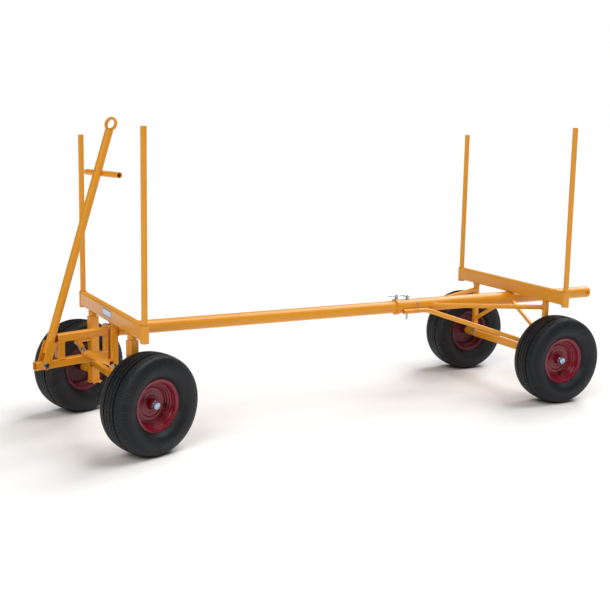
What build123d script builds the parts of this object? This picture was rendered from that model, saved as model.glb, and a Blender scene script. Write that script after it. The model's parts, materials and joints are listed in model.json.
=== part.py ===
"""Long load trailer: a steered front bogie and a rear bogie that slides on one long round tube.

Row frame in millimetres: +X towards the drawbar, +Y to the left, +Z up, ground at z = 0,
origin below the middle of the parked trailer. The front wheels are parked turned to the left
and the drawbar leans back on the front corner of its frame.
"""
import os
from math import asin, atan2, cos, hypot, radians, sin

from build123d import *

os.makedirs("parts", exist_ok=True)

# ---------------------------------------------------------------- running gear
wheelbase = 2510.0  # rear axle to king pins
track = 910.0  # wheel centre to wheel centre, across the trailer
tyre_diameter = 500.0
tyre_width = 190.0
tyre_wall = 8.0
tyre_widest_share = 0.52  # height of the widest place in the tyre's section
tyre_shoulder_share = 0.91  # height of the shoulder
tyre_tread_share = 0.8  # tread in the tyre's width
bead_lean = 0.2  # outward slope of the casing at its beads
rim_flange_radius = 129.0
rim_seat_radius = 117.0  # bead seats, where the tyre sits
rim_ledge_radius = 107.0  # step between bead seat and well
rim_well_radius = 97.0
rim_width = 124.0
rim_ledge_half = 28.0  # ledge, from the wheel's middle
rim_well_half = 15.5  # well, from the wheel's middle
rim_wall = 4.0
rim_disc_offset = 2.0  # inner face of the disc, outboard of the wheel's middle
rim_disc_thickness = 6.0
hub_radius = 27.0
hub_inner_length = 45.0  # hub tube inboard of the wheel's middle
hub_outer_length = 44.0  # hub tube outboard of the wheel's middle
hub_cap_radius = 22.0
hub_cap_length = 16.0
hub_cap_wall = 3.0
axle_radius = 17.5
axle_collar_radius = 24.0
axle_end_length = 6.0  # axle end past the hub, inside the cap

# ---------------------------------------------------------------- load beds and stakes
bed_height = 645.0  # top of both bolsters
bolster_height = 75.0
bolster_width = 40.0
bolster_wall = 4.0
stake_outset = 50.0  # stake axis outboard of the wheels' middle
stake_diameter = 30.0
stake_wall = 2.5
left_stake_top = 1568.0
right_stake_top = 1494.0
socket_diameter = 42.4
socket_wall = 3.2
socket_drop = 11.0  # socket below the bolster's underside
socket_floor = 4.0

# ---------------------------------------------------------------- main tube and rear bogie
main_tube_diameter = 70.0
main_tube_wall = 4.0
main_tube_overhang = 605.0  # tube behind the rear axle
end_wall = 5.0  # closed ends of the main tube
end_hole_radius = 7.0
end_hole_inset = 22.0
sleeve_diameter = 80.0
sleeve_front = 822.0  # ahead of the rear axle
sleeve_rear = 21.0  # behind the rear axle
clamp_ring_diameter = 92.0
clamp_ring_width = 22.0
lock_screw_inset = 85.0  # behind the sleeve's front end
screw_radius = 6.0
screw_rise = 14.0  # screw above its nut, up to the handle bar
lower_screw_rise = 30.0
nut_radius = 11.0
nut_height = 9.0
handle_bar_radius = 3.5
clamp_bar_length = 110.0
lock_bar_length = 46.0
brace_diameter = 27.0
brace_wall = 2.5
lower_brace_angle = 25.0  # round the sleeve, below its side
upper_brace_start = 640.0  # ahead of the rear axle
lower_brace_start = 790.0
lower_brace_bend = 630.0
lower_brace_bend_radius = 110.0
lower_brace_foot_height = 290.0  # where they meet the rear posts
post_tyre_clearance = 8.0  # rear posts to the tyres
rear_post_width = 30.0
rear_post_wall = 3.0
axle_beam_width = 40.0
axle_beam_wall = 4.0
axle_beam_overhang = 3.0  # beam past the posts
strut_width = 20.0
strut_wall = 2.0
strut_foot_height = 340.0

# ---------------------------------------------------------------- front frame and steering
frame_turn = 16.5  # parked heading of the drawbar frame, degrees to the left
wheel_offset = 130.0  # king pin to the wheel's middle
kingpin_radius = 12.0
kingpin_boss_radius = 24.0
thrust_collar_radius = 20.0
thrust_collar_height = 8.0
knuckle_width = 48.0
knuckle_wall = 4.0
knuckle_drop = 30.0  # knuckle tops below the bolsters
knuckle_bottom = 188.0
bearing_length = 40.0
knuckle_plate_thickness = 6.0
knuckle_plate_size = 57.0
knuckle_plate_inboard = 8.0
cross_beam_width = 30.0
cross_beam_height = 30.0
cross_beam_centre_height = 290.0
window_margin = 7.0  # knuckle window above and below the cross beam
window_reach = 1.0  # knuckle window past the king pin's axis
centre_post_width = 40.0
centre_post_wall = 4.0
centre_post_setback = 10.0  # post behind the king pins
pivot_lead = 32.0  # frame pivot ahead of the king pins
pivot_tube_radius = 16.0
pivot_pin_radius = 10.0
pivot_lug_thickness = 8.0
pivot_lug_gap = 2.0
pivot_lug_width = 36.0
pivot_head_radius = 15.0
pivot_head_height = 6.0
frame_tube_width = 40.0
frame_tube_wall = 3.0
upper_beam_drop = 45.0  # axis of the upper beam below the bolsters
beam_spacing = 123.0  # between the axes of the upper and the lower beam
upper_beam_reach = 288.0  # from the pivot
lower_beam_reach = 408.0
hinge_reach = 360.0
tie_rod_reach = 130.0
steering_arm_length = 108.0
steering_arm_width = 28.0
steering_arm_thickness = 10.0
tie_rod_width = 25.0
tie_rod_wall = 2.5
tie_rod_eye_gap = 30.0  # tube end to the eye's centre
tie_rod_lug_thickness = 8.0
joint_bolt_radius = 6.0
joint_bolt_head_radius = 10.0
joint_bolt_head_height = 8.0

# ---------------------------------------------------------------- drawbar
drawbar_length = 1230.0  # hinge to the centre of the towing eye
drawbar_wall = 3.0
fork_clearance = 0.5  # each cheek to the beam
drawbar_gap = 5.0  # tube end clear of the frame's tip as it swings
hinge_pin_radius = 8.0
hinge_head_radius = 12.0
hinge_head_height = 7.0
cheek_thickness = 6.0
cheek_width = 44.0
cheek_lap = 60.0  # cheek along the tube
handle_position = 984.0  # from the hinge
handle_length = 290.0
handle_diameter = 30.0
handle_wall = 2.5
handle_notch = 4.0  # depth of the saddle cut where the handle meets the tube
eye_outer_radius = 36.0
eye_bore_radius = 23.0
eye_width = 14.0
eye_edge_radius = 5.0
eye_sink = 3.0  # ring let into the end plate
eye_twist = 20.0  # ring turned about the drawbar's axis, degrees
end_plate_thickness = 8.0

# ---------------------------------------------------------------- clearances
seat_gap = 0.3  # faces that rest or slide on each other
pin_clearance = 0.06  # radial, pins in their bores
sleeve_clearance = 0.5  # radial, sleeve on the main tube

# ---------------------------------------------------------------- places worked out from the sizes
axle_height = tyre_diameter / 2
turn = radians(frame_turn)
steer = asin(sin(turn) * tie_rod_reach / steering_arm_length)
front_reach = wheelbase + pivot_lead + lower_beam_reach * cos(turn) + frame_tube_width / 2 * sin(turn)
rear_axle_x = (main_tube_overhang - front_reach) / 2
kingpin_x = rear_axle_x + wheelbase
kingpin_y = track / 2 - wheel_offset
kingpin_spacing = 2 * kingpin_y
rear_post_spacing = track - tyre_width - rear_post_width - 2 * post_tyre_clearance
pivot_x = kingpin_x + pivot_lead
post_x = kingpin_x - centre_post_setback
bolster_bottom = bed_height - bolster_height
knuckle_top = bolster_bottom - knuckle_drop
upper_beam_height = bolster_bottom - upper_beam_drop
lower_beam_height = upper_beam_height - beam_spacing
tube_height = bolster_bottom - sleeve_diameter / 2
socket_bottom = bolster_bottom - socket_drop
stake_y = track / 2 + stake_outset
stake_spacing = 2 * stake_y
axle_beam_top = axle_height + axle_beam_width / 2
axle_beam_end = rear_post_spacing / 2 + rear_post_width / 2 + axle_beam_overhang
upper_beam_top = upper_beam_height + frame_tube_width / 2
lower_beam_top = lower_beam_height + frame_tube_width / 2
lower_beam_bottom = lower_beam_height - frame_tube_width / 2
fork_gap = frame_tube_width + 2 * fork_clearance
drawbar_radius = fork_gap / 2
hinge_to_corner = hinge_reach - upper_beam_reach
corner_rise = upper_beam_top - lower_beam_height
lean = atan2(hinge_to_corner, corner_rise) - asin(
    (drawbar_radius + seat_gap) / hypot(hinge_to_corner, corner_rise)
)
drawbar_start = hypot(lower_beam_reach - hinge_reach, frame_tube_width / 2) + drawbar_gap
lug_level = lower_beam_top + seat_gap
rod_level = lug_level + tie_rod_lug_thickness

up = Vector(0, 0, 1)
left = Vector(0, 1, 0)
heading = Vector(cos(turn), sin(turn), 0)
abeam = Vector(-sin(turn), cos(turn), 0)
drawbar_axis = up * cos(lean) - heading * sin(lean)
drawbar_back = heading * -cos(lean) - up * sin(lean)


def save(builder, name):
    """Label a finished sub-part and write its STEP file."""
    builder.part.label = name
    export_step(builder.part, f"parts/{name}.step")


def run_plane(start, end, side=up):
    """Plane at the start of a run: its normal points along the run and its y axis towards side."""
    along = (Vector(end) - Vector(start)).normalized()
    return Plane(origin=start, x_dir=Vector(side).cross(along), z_dir=along)


def run_length(start, end):
    """Distance between two points."""
    return (Vector(end) - Vector(start)).length


def box_section(plane, width, height, wall):
    """Section of a rectangular tube with the round corners that rolling leaves."""
    with BuildSketch(plane) as section:
        RectangleRounded(width, height, 2 * wall)
        RectangleRounded(width - 2 * wall, height - 2 * wall, wall, mode=Mode.SUBTRACT)
    return section.sketch


def ring_section(plane, diameter, wall):
    """Section of a round tube."""
    with BuildSketch(plane) as section:
        Circle(diameter / 2)
        Circle(diameter / 2 - wall, mode=Mode.SUBTRACT)
    return section.sketch


def disc(plane, radius):
    """Round profile."""
    with BuildSketch(plane) as section:
        Circle(radius)
    return section.sketch


def slab(plane, width, height):
    """Rectangular profile."""
    with BuildSketch(plane) as section:
        Rectangle(width, height)
    return section.sketch


def rounded_slab(plane, width, corner):
    """Square profile with round corners."""
    with BuildSketch(plane) as section:
        RectangleRounded(width, width, corner)
    return section.sketch


def eye_strip(plane, length, width):
    """Flat strip that starts square at the plane's origin and ends round at the given length."""
    with BuildSketch(plane) as section:
        with Locations((length / 2, 0)):
            Rectangle(length, width)
        with Locations((length, 0)):
            Circle(width / 2)
    return section.sketch


def frame_point(reach, side, height):
    """Point given in the parked heading of the drawbar frame."""
    return Vector(pivot_x, 0, height) + heading * reach + abeam * side


def drawbar_point(distance, back=0.0):
    """Point along the raised drawbar, and off its axis towards the trailer."""
    return frame_point(hinge_reach, 0, lower_beam_height) + drawbar_axis * distance + drawbar_back * back


def knuckle_point(side, forward, outboard, height):
    """Point given in the parked direction of one knuckle; side is 1 on the left and -1 on the right."""
    ahead = Vector(cos(steer), sin(steer), 0)
    out = Vector(-sin(steer), cos(steer), 0) * side
    return Vector(kingpin_x, side * kingpin_y, height) + ahead * forward + out * outboard


def knuckle_plane(side, forward, outboard, height):
    """Level plane of one knuckle, its x axis along the wheel's rolling direction."""
    return Plane(
        origin=knuckle_point(side, forward, outboard, height),
        x_dir=Vector(cos(steer), sin(steer), 0),
        z_dir=up,
    )


sides = {"left": 1, "right": -1}

# ================================================================ front frame
with BuildPart() as main_tube:
    tube_rear = Vector(rear_axle_x - main_tube_overhang, 0, tube_height)
    tube_front = Vector(post_x - centre_post_width / 2, 0, tube_height)
    tube_plane = run_plane(tube_rear, tube_front)
    extrude(disc(tube_plane, main_tube_diameter / 2), amount=run_length(tube_rear, tube_front))
    extrude(
        disc(tube_plane.offset(end_wall), main_tube_diameter / 2 - main_tube_wall),
        amount=run_length(tube_rear, tube_front) - 2 * end_wall,
        mode=Mode.SUBTRACT,
    )
    end_hole = Plane(origin=tube_rear + Vector(end_hole_inset, 0, 0), x_dir=(1, 0, 0), z_dir=left)
    extrude(disc(end_hole, end_hole_radius), amount=main_tube_diameter, both=True, mode=Mode.SUBTRACT)
save(main_tube, "main_tube")


def bolster(centre_x):
    """Rectangular tube across the trailer, notched at its ends for the round stake sockets."""
    with BuildPart() as beam:
        start = Vector(centre_x, -stake_y, bed_height - bolster_height / 2)
        plane = run_plane(start, start + left)
        extrude(box_section(plane, bolster_width, bolster_height, bolster_wall), amount=stake_spacing)
        with Locations((centre_x, -stake_y, bed_height), (centre_x, stake_y, bed_height)):
            Cylinder(socket_diameter / 2, 3 * bolster_height, mode=Mode.SUBTRACT)
    return beam


def stake_sockets(centre_x):
    """The two round sockets of one bolster, each closed by a floor."""
    with BuildPart() as sockets:
        for side in sides.values():
            plane = Plane(origin=(centre_x, side * stake_y, socket_bottom))
            extrude(disc(plane, socket_diameter / 2), amount=bed_height - socket_bottom)
            extrude(
                disc(plane.offset(socket_floor), socket_diameter / 2 - socket_wall),
                amount=bed_height - socket_bottom,
                mode=Mode.SUBTRACT,
            )
    return sockets


save(bolster(kingpin_x), "front_bolster")
save(stake_sockets(kingpin_x), "front_stake_sockets")

with BuildPart() as kingpins:
    for side in sides.values():
        pin_top = Plane(origin=(kingpin_x, side * kingpin_y, bolster_bottom))
        extrude(disc(pin_top, kingpin_radius), amount=-(bolster_bottom - knuckle_bottom - seat_gap))
        collar_top = knuckle_top + seat_gap + thrust_collar_height
        extrude(disc(pin_top, kingpin_boss_radius), amount=-(bolster_bottom - collar_top))
        collar = Plane(origin=(kingpin_x, side * kingpin_y, knuckle_top + seat_gap))
        extrude(disc(collar, thrust_collar_radius), amount=thrust_collar_height)
save(kingpins, "kingpins")

with BuildPart() as front_cross_beam:
    beam_bottom = cross_beam_centre_height - cross_beam_height / 2
    with BuildSketch(Plane.XY.offset(beam_bottom)):
        with Locations((kingpin_x, 0)):
            Rectangle(cross_beam_width, kingpin_spacing)
        with Locations((kingpin_x, kingpin_y), (kingpin_x, -kingpin_y)):
            Circle(cross_beam_width / 2)
            Circle(kingpin_radius + pin_clearance, mode=Mode.SUBTRACT)
    extrude(amount=cross_beam_height)
save(front_cross_beam, "front_cross_beam")

with BuildPart() as centre_post:
    post_bottom = cross_beam_centre_height + cross_beam_height / 2
    foot = Vector(post_x, 0, post_bottom)
    extrude(
        box_section(Plane(origin=foot), centre_post_width, centre_post_width, centre_post_wall),
        amount=bolster_bottom - post_bottom,
    )
save(centre_post, "centre_post")

upper_lug_bottom = upper_beam_top + pivot_lug_gap
lower_lug_top = lower_beam_bottom - pivot_lug_gap
with BuildPart() as pivot_lugs:
    lug_root = post_x + centre_post_width / 2
    for level in (upper_lug_bottom, lower_lug_top - pivot_lug_thickness):
        plane = Plane(origin=(lug_root, 0, level))
        extrude(eye_strip(plane, pivot_x - lug_root, pivot_lug_width), amount=pivot_lug_thickness)
        pin_hole = Plane(origin=(pivot_x, 0, level))
        extrude(
            disc(pin_hole, pivot_pin_radius + pin_clearance),
            amount=pivot_lug_thickness,
            mode=Mode.SUBTRACT,
        )
save(pivot_lugs, "pivot_lugs")

with BuildPart() as pivot_pin:
    pin_foot = lower_lug_top - pivot_lug_thickness - pivot_head_height
    head_base = upper_lug_bottom + pivot_lug_thickness
    extrude(disc(Plane(origin=(pivot_x, 0, pin_foot)), pivot_pin_radius), amount=head_base - pin_foot)
    extrude(disc(Plane(origin=(pivot_x, 0, head_base)), pivot_head_radius), amount=pivot_head_height)
save(pivot_pin, "pivot_pin")

# ================================================================ drawbar frame, turned on the pivot pin
with BuildPart() as frame_pivot_tube:
    foot = Plane(origin=frame_point(0, 0, lower_beam_bottom))
    height = upper_beam_top - lower_beam_bottom
    extrude(disc(foot, pivot_tube_radius), amount=height)
    extrude(disc(foot, pivot_pin_radius + pin_clearance), amount=height, mode=Mode.SUBTRACT)
save(frame_pivot_tube, "frame_pivot_tube")

pivot_bore = disc(Plane(origin=frame_point(0, 0, 0)), pivot_tube_radius)


def frame_beam(reach, height):
    """Square tube from the pivot tube, straight ahead along the frame's heading."""
    start = frame_point(0, 0, height)
    end = frame_point(reach, 0, height)
    plane = run_plane(start, end)
    with BuildPart() as beam:
        extrude(box_section(plane, frame_tube_width, frame_tube_width, frame_tube_wall), amount=reach)
        extrude(pivot_bore, amount=bed_height, mode=Mode.SUBTRACT)
    return beam


save(frame_beam(upper_beam_reach, upper_beam_height), "frame_upper_beam")

with frame_beam(lower_beam_reach, lower_beam_height) as frame_lower_beam:
    hinge_hole = Plane(origin=frame_point(hinge_reach, 0, lower_beam_height), x_dir=heading, z_dir=abeam)
    extrude(
        disc(hinge_hole, hinge_pin_radius + pin_clearance),
        amount=frame_tube_width,
        both=True,
        mode=Mode.SUBTRACT,
    )
save(frame_lower_beam, "frame_lower_beam")

with BuildPart() as frame_upright:
    foot = Plane(
        origin=frame_point(upper_beam_reach - frame_tube_width / 2, 0, lower_beam_top),
        x_dir=heading,
        z_dir=up,
    )
    height = upper_beam_top - frame_tube_width - lower_beam_top
    extrude(box_section(foot, frame_tube_width, frame_tube_width, frame_tube_wall), amount=height)
save(frame_upright, "frame_upright")

right_lug_level = rod_level + seat_gap
bolt_head_level = right_lug_level + tie_rod_lug_thickness + seat_gap
with BuildPart() as tie_rod_bolt:
    foot = Plane(origin=frame_point(tie_rod_reach, 0, lower_beam_top))
    extrude(disc(foot, joint_bolt_radius), amount=bolt_head_level - lower_beam_top)
    with BuildSketch(Plane(origin=frame_point(tie_rod_reach, 0, bolt_head_level))):
        RegularPolygon(joint_bolt_head_radius, 6)
    extrude(amount=joint_bolt_head_height)
save(tie_rod_bolt, "tie_rod_bolt")

with BuildPart() as drawbar_hinge_bolt:
    reach = fork_gap / 2 + cheek_thickness + seat_gap
    foot = Plane(origin=frame_point(hinge_reach, -reach, lower_beam_height), x_dir=heading, z_dir=abeam)
    extrude(disc(foot, hinge_pin_radius), amount=2 * reach)
    for level in (-hinge_head_height, 2 * reach):
        with BuildSketch(foot.offset(level)):
            RegularPolygon(hinge_head_radius, 6)
        extrude(amount=hinge_head_height)
save(drawbar_hinge_bolt, "drawbar_hinge_bolt")

# ================================================================ drawbar, leaning back on the frame
eye_base = drawbar_length - eye_outer_radius - end_plate_thickness + eye_sink
with BuildPart() as drawbar_tube:
    plane = run_plane(drawbar_point(drawbar_start), drawbar_point(eye_base), abeam)
    extrude(ring_section(plane, 2 * drawbar_radius, drawbar_wall), amount=eye_base - drawbar_start)
save(drawbar_tube, "drawbar_tube")

with BuildPart() as drawbar_fork:
    for side in (fork_gap / 2, -fork_gap / 2 - cheek_thickness):
        plane = Plane(
            origin=drawbar_point(drawbar_start + cheek_lap) + abeam * side,
            x_dir=drawbar_axis * -1,
            z_dir=abeam,
        )
        extrude(eye_strip(plane, drawbar_start + cheek_lap, cheek_width), amount=cheek_thickness)
    bore = Plane(origin=drawbar_point(0), x_dir=heading, z_dir=abeam)
    extrude(disc(bore, hinge_pin_radius + pin_clearance), amount=fork_gap, both=True, mode=Mode.SUBTRACT)
save(drawbar_fork, "drawbar_fork")

with BuildPart() as cross_handle:
    handle_offset = drawbar_radius + handle_diameter / 2 - handle_notch
    handle_start = drawbar_point(handle_position, handle_offset) - abeam * (handle_length / 2)
    plane = run_plane(handle_start, handle_start + abeam)
    extrude(ring_section(plane, handle_diameter, handle_wall), amount=handle_length)
    notch = run_plane(drawbar_point(0), drawbar_point(1), abeam)
    extrude(disc(notch, drawbar_radius), amount=drawbar_length, mode=Mode.SUBTRACT)
save(cross_handle, "cross_handle")

with BuildPart() as towing_eye:
    base = run_plane(drawbar_point(eye_base), drawbar_point(drawbar_length), abeam)
    extrude(disc(base, drawbar_radius), amount=end_plate_thickness)
    twist = radians(eye_twist)
    ring = Plane(
        origin=drawbar_point(drawbar_length),
        x_dir=drawbar_axis,
        z_dir=drawbar_back * cos(twist) - abeam * sin(twist),
    )
    with BuildPart() as eye_ring:
        extrude(disc(ring, eye_outer_radius), amount=eye_width / 2, both=True)
        fillet(eye_ring.edges().filter_by(GeomType.CIRCLE), eye_edge_radius)
    add(eye_ring.part)
    extrude(disc(ring, eye_bore_radius), amount=eye_outer_radius, both=True, mode=Mode.SUBTRACT)
save(towing_eye, "towing_eye")


# ================================================================ steered knuckles and tie rods
def knuckle_post(side):
    """Square housing that turns on the king pin; its inner half is open for the fixed cross beam."""
    foot = knuckle_plane(side, 0, 0, knuckle_bottom)
    height = knuckle_top - knuckle_bottom
    pocket = height - 2 * bearing_length
    hollow = knuckle_width - 2 * knuckle_wall
    window = cross_beam_height + 2 * window_margin
    window_plane = knuckle_plane(
        side, 0, window_reach - knuckle_width / 2, cross_beam_centre_height - window / 2
    )
    with BuildPart() as post:
        extrude(rounded_slab(foot, knuckle_width, 2 * knuckle_wall), amount=height)
        extrude(
            rounded_slab(foot.offset(bearing_length), hollow, knuckle_wall),
            amount=pocket,
            mode=Mode.SUBTRACT,
        )
        extrude(disc(foot, kingpin_radius + pin_clearance), amount=height, mode=Mode.SUBTRACT)
        extrude(slab(window_plane, 2 * knuckle_width, knuckle_width), amount=window, mode=Mode.SUBTRACT)
    return post


def knuckle_plate(side):
    """Plate that closes the knuckle from below."""
    plane = knuckle_plane(side, 0, -knuckle_plate_inboard, knuckle_bottom - knuckle_plate_thickness)
    with BuildPart() as plate:
        extrude(slab(plane, knuckle_plate_size, knuckle_plate_size), amount=knuckle_plate_thickness)
    return plate


def stub_axle(root, tip):
    """Turned axle: a thick collar up to the hub, then the bearing length through it."""
    plane = run_plane(root, tip)
    length = run_length(root, tip)
    bearing = hub_inner_length + hub_outer_length + axle_end_length + seat_gap
    with BuildPart() as axle:
        extrude(disc(plane, axle_radius), amount=length)
        extrude(disc(plane, axle_collar_radius), amount=length - bearing)
    return axle


def steering_arm(side):
    """Flat arm ahead of the knuckle, with the nut of its tie-rod bolt below the eye."""
    level = lower_beam_top - steering_arm_thickness
    plane = knuckle_plane(side, knuckle_width / 2, 0, level)
    with BuildPart() as arm:
        extrude(
            eye_strip(plane, steering_arm_length - knuckle_width / 2, steering_arm_width),
            amount=steering_arm_thickness,
        )
        nut = knuckle_plane(side, steering_arm_length, 0, level)
        extrude(disc(nut, joint_bolt_head_radius), amount=-joint_bolt_head_height)
    return arm


def tie_rod(side, centre_lug_level):
    """Square tube between flat lugs, from the bolt on the drawbar frame to the steering arm."""
    centre = frame_point(tie_rod_reach, 0, 0)
    eye = knuckle_point(side, steering_arm_length, 0, 0)
    length = run_length(centre, eye)
    along = (eye - centre).normalized()
    level = lug_level + tie_rod_width / 2
    with BuildPart() as rod:
        start = centre + along * tie_rod_eye_gap + up * level
        end = eye - along * tie_rod_eye_gap + up * level
        extrude(
            box_section(run_plane(start, end), tie_rod_width, tie_rod_width, tie_rod_wall),
            amount=run_length(start, end),
        )
        lug_length = tie_rod_eye_gap + tie_rod_wall
        inner = Plane(
            origin=centre + along * lug_length + up * centre_lug_level, x_dir=along * -1, z_dir=up
        )
        extrude(eye_strip(inner, lug_length, tie_rod_width), amount=tie_rod_lug_thickness)
        outer = Plane(origin=eye - along * lug_length + up * lug_level, x_dir=along, z_dir=up)
        extrude(eye_strip(outer, lug_length, tie_rod_width), amount=tie_rod_lug_thickness)
        with BuildSketch(Plane(origin=eye + up * rod_level)) as head:
            RegularPolygon(joint_bolt_head_radius, 6)
        extrude(head.sketch, amount=joint_bolt_head_height)
        hole = Plane(origin=centre + up * centre_lug_level)
        extrude(
            disc(hole, joint_bolt_radius + pin_clearance),
            amount=tie_rod_lug_thickness,
            mode=Mode.SUBTRACT,
        )
    return rod


for name, side in sides.items():
    save(knuckle_post(side), f"knuckle_post_{name}")
    save(knuckle_plate(side), f"knuckle_plate_{name}")
    axle_root = knuckle_point(side, 0, knuckle_width / 2, axle_height)
    axle_tip = knuckle_point(side, 0, wheel_offset + hub_outer_length + axle_end_length, axle_height)
    save(stub_axle(axle_root, axle_tip), f"front_stub_axle_{name}")
    save(steering_arm(side), f"steering_arm_{name}")
save(tie_rod(1, lug_level), "tie_rod_left")
save(tie_rod(-1, right_lug_level), "tie_rod_right")


# ================================================================ wheels
def wheel_section_plane(centre, out):
    """Plane through the wheel's axis: x outboard along the axis and y up."""
    return Plane(origin=centre, x_dir=out, z_dir=Vector(out).cross(up))


def rim(centre, out):
    """Drop-centre rim with its disc and hub, as one steel piece."""
    plane = wheel_section_plane(centre, out)
    half = rim_width / 2
    seat = half - rim_wall
    ledge = rim_ledge_half
    well = rim_well_half
    disc_in = rim_disc_offset
    disc_out = rim_disc_offset + rim_disc_thickness
    inside = rim_well_radius - rim_wall
    bore = axle_radius + pin_clearance
    with BuildPart() as part:
        with BuildSketch(plane) as section:
            with BuildLine():
                Polyline(
                    (half, rim_flange_radius),
                    (seat, rim_flange_radius),
                    (seat, rim_seat_radius),
                    (ledge, rim_seat_radius),
                    (ledge, rim_ledge_radius),
                    (well, rim_well_radius),
                    (-well, rim_well_radius),
                    (-ledge, rim_ledge_radius),
                    (-ledge, rim_seat_radius),
                    (-seat, rim_seat_radius),
                    (-seat, rim_flange_radius),
                    (-half, rim_flange_radius),
                    (-half, rim_seat_radius - rim_wall),
                    (-ledge - rim_wall, rim_seat_radius - rim_wall),
                    (-ledge - rim_wall, rim_ledge_radius - rim_wall),
                    (-well - rim_wall, inside),
                    (disc_in, inside),
                    (disc_in, hub_radius),
                    (-hub_inner_length, hub_radius),
                    (-hub_inner_length, bore),
                    (hub_outer_length, bore),
                    (hub_outer_length, hub_radius),
                    (disc_out, hub_radius),
                    (disc_out, inside),
                    (well + rim_wall, inside),
                    (ledge + rim_wall, rim_ledge_radius - rim_wall),
                    (ledge + rim_wall, rim_seat_radius - rim_wall),
                    (half, rim_seat_radius - rim_wall),
                    close=True,
                )
            make_face()
        revolve(axis=Axis(plane.origin, plane.x_dir))
    return part


def tyre(centre, out):
    """Low-pressure tyre: a bulging sidewall, a round shoulder and a nearly flat tread."""
    plane = wheel_section_plane(centre, out)
    bead = rim_width / 2 - rim_wall - seat_gap
    seat = rim_seat_radius + seat_gap
    radius = tyre_diameter / 2
    half = tyre_width / 2
    section_height = radius - seat
    widest = seat + tyre_widest_share * section_height
    shoulder = seat + tyre_shoulder_share * section_height
    shoulder_half = tyre_tread_share * half
    neck = rim_flange_radius + seat_gap
    with BuildPart() as part:
        with BuildSketch(plane) as section:
            with BuildLine():
                Line((bead, seat), (bead, neck))
                TangentArc((half, widest), (bead, neck), tangent=(0, -1))
                TangentArc((half, widest), (shoulder_half, shoulder), tangent=(0, 1))
                ThreePointArc((shoulder_half, shoulder), (0, radius), (-shoulder_half, shoulder))
                TangentArc((-half, widest), (-shoulder_half, shoulder), tangent=(0, 1))
                TangentArc((-half, widest), (-bead, neck), tangent=(0, -1))
                Line((-bead, neck), (-bead, seat))
                Line((-bead, seat), (tyre_wall - bead, seat))
                Spline((tyre_wall - bead, seat), (tyre_wall - half, widest),
                       (0, radius - tyre_wall), (half - tyre_wall, widest), (bead - tyre_wall, seat),
                       tangents=[(-bead_lean, 1), (bead_lean, -1)])
                Line((bead - tyre_wall, seat), (bead, seat))
            make_face()
        revolve(axis=Axis(plane.origin, plane.x_dir))
    return part


def hub_cap(centre, out):
    """Cup over the axle end, seated on the end of the hub."""
    face = Vector(centre) + Vector(out) * hub_outer_length
    plane = run_plane(face, face + Vector(out))
    with BuildPart() as cap:
        extrude(disc(plane, hub_cap_radius), amount=hub_cap_length)
        extrude(
            disc(plane, hub_cap_radius - hub_cap_wall),
            amount=hub_cap_length - hub_cap_wall,
            mode=Mode.SUBTRACT,
        )
    return cap


def wheel(name, centre, out):
    """Write the three pieces of one wheel."""
    save(tyre(centre, out), f"tyre_{name}")
    save(rim(centre, out), f"rim_{name}")
    save(hub_cap(centre, out), f"hub_cap_{name}")


for name, side in sides.items():
    knuckle_out = Vector(-sin(steer), cos(steer), 0) * side
    wheel(f"front_{name}", knuckle_point(side, 0, wheel_offset, axle_height), knuckle_out)
    wheel(f"rear_{name}", Vector(rear_axle_x, side * track / 2, axle_height), left * side)

# ================================================================ rear bogie, sliding on the main tube
sleeve_bore = main_tube_diameter / 2 + sleeve_clearance
sleeve_start = Vector(rear_axle_x - sleeve_rear, 0, tube_height)
sleeve_end = Vector(rear_axle_x + sleeve_front, 0, tube_height)
screw_x = rear_axle_x + sleeve_front - clamp_ring_width / 2
lock_x = rear_axle_x + sleeve_front - lock_screw_inset
ring_radius = clamp_ring_diameter / 2
sleeve_radius = sleeve_diameter / 2

with BuildPart() as rear_sleeve:
    plane = run_plane(sleeve_start, sleeve_end)
    extrude(
        ring_section(plane, sleeve_diameter, sleeve_radius - sleeve_bore),
        amount=run_length(sleeve_start, sleeve_end),
    )
    for place, direction in ((screw_x, up), (lock_x, up), (lock_x, up * -1)):
        hole = Plane(origin=(place, 0, tube_height), x_dir=(1, 0, 0), z_dir=direction)
        extrude(disc(hole, screw_radius + pin_clearance), amount=sleeve_diameter, mode=Mode.SUBTRACT)
save(rear_sleeve, "rear_sleeve")

with BuildPart() as clamp_ring:
    plane = run_plane(sleeve_end - Vector(clamp_ring_width, 0, 0), sleeve_end)
    extrude(
        ring_section(plane, clamp_ring_diameter, ring_radius - sleeve_radius), amount=clamp_ring_width
    )
    hole = Plane(origin=(screw_x, 0, tube_height))
    extrude(disc(hole, screw_radius + pin_clearance), amount=clamp_ring_diameter, mode=Mode.SUBTRACT)
save(clamp_ring, "clamp_ring")


def screw(place, seat_radius, direction, rise, bar_length):
    """Clamp screw through the sleeve wall, with its nut and a cross bar; adds to the open part."""
    tip = Plane(
        origin=Vector(place, 0, tube_height) + direction * (main_tube_diameter / 2),
        x_dir=(1, 0, 0),
        z_dir=direction,
    )
    nut_level = seat_radius + seat_gap - main_tube_diameter / 2
    top = nut_level + nut_height + rise
    extrude(disc(tip, screw_radius), amount=top)
    with BuildSketch(tip.offset(nut_level)) as nut:
        RegularPolygon(nut_radius, 6)
    extrude(nut.sketch, amount=nut_height)
    if bar_length:
        bar_start = tip.offset(top - screw_radius).origin - Vector(bar_length / 2, 0, 0)
        bar = run_plane(bar_start, bar_start + Vector(1, 0, 0))
        extrude(disc(bar, handle_bar_radius), amount=bar_length)


with BuildPart() as clamp_screws:
    screw(screw_x, ring_radius, up, screw_rise, clamp_bar_length)
    screw(lock_x, sleeve_radius, up, screw_rise, lock_bar_length)
    screw(lock_x, sleeve_radius, up * -1, lower_screw_rise, 0)
save(clamp_screws, "clamp_screws")

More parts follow.
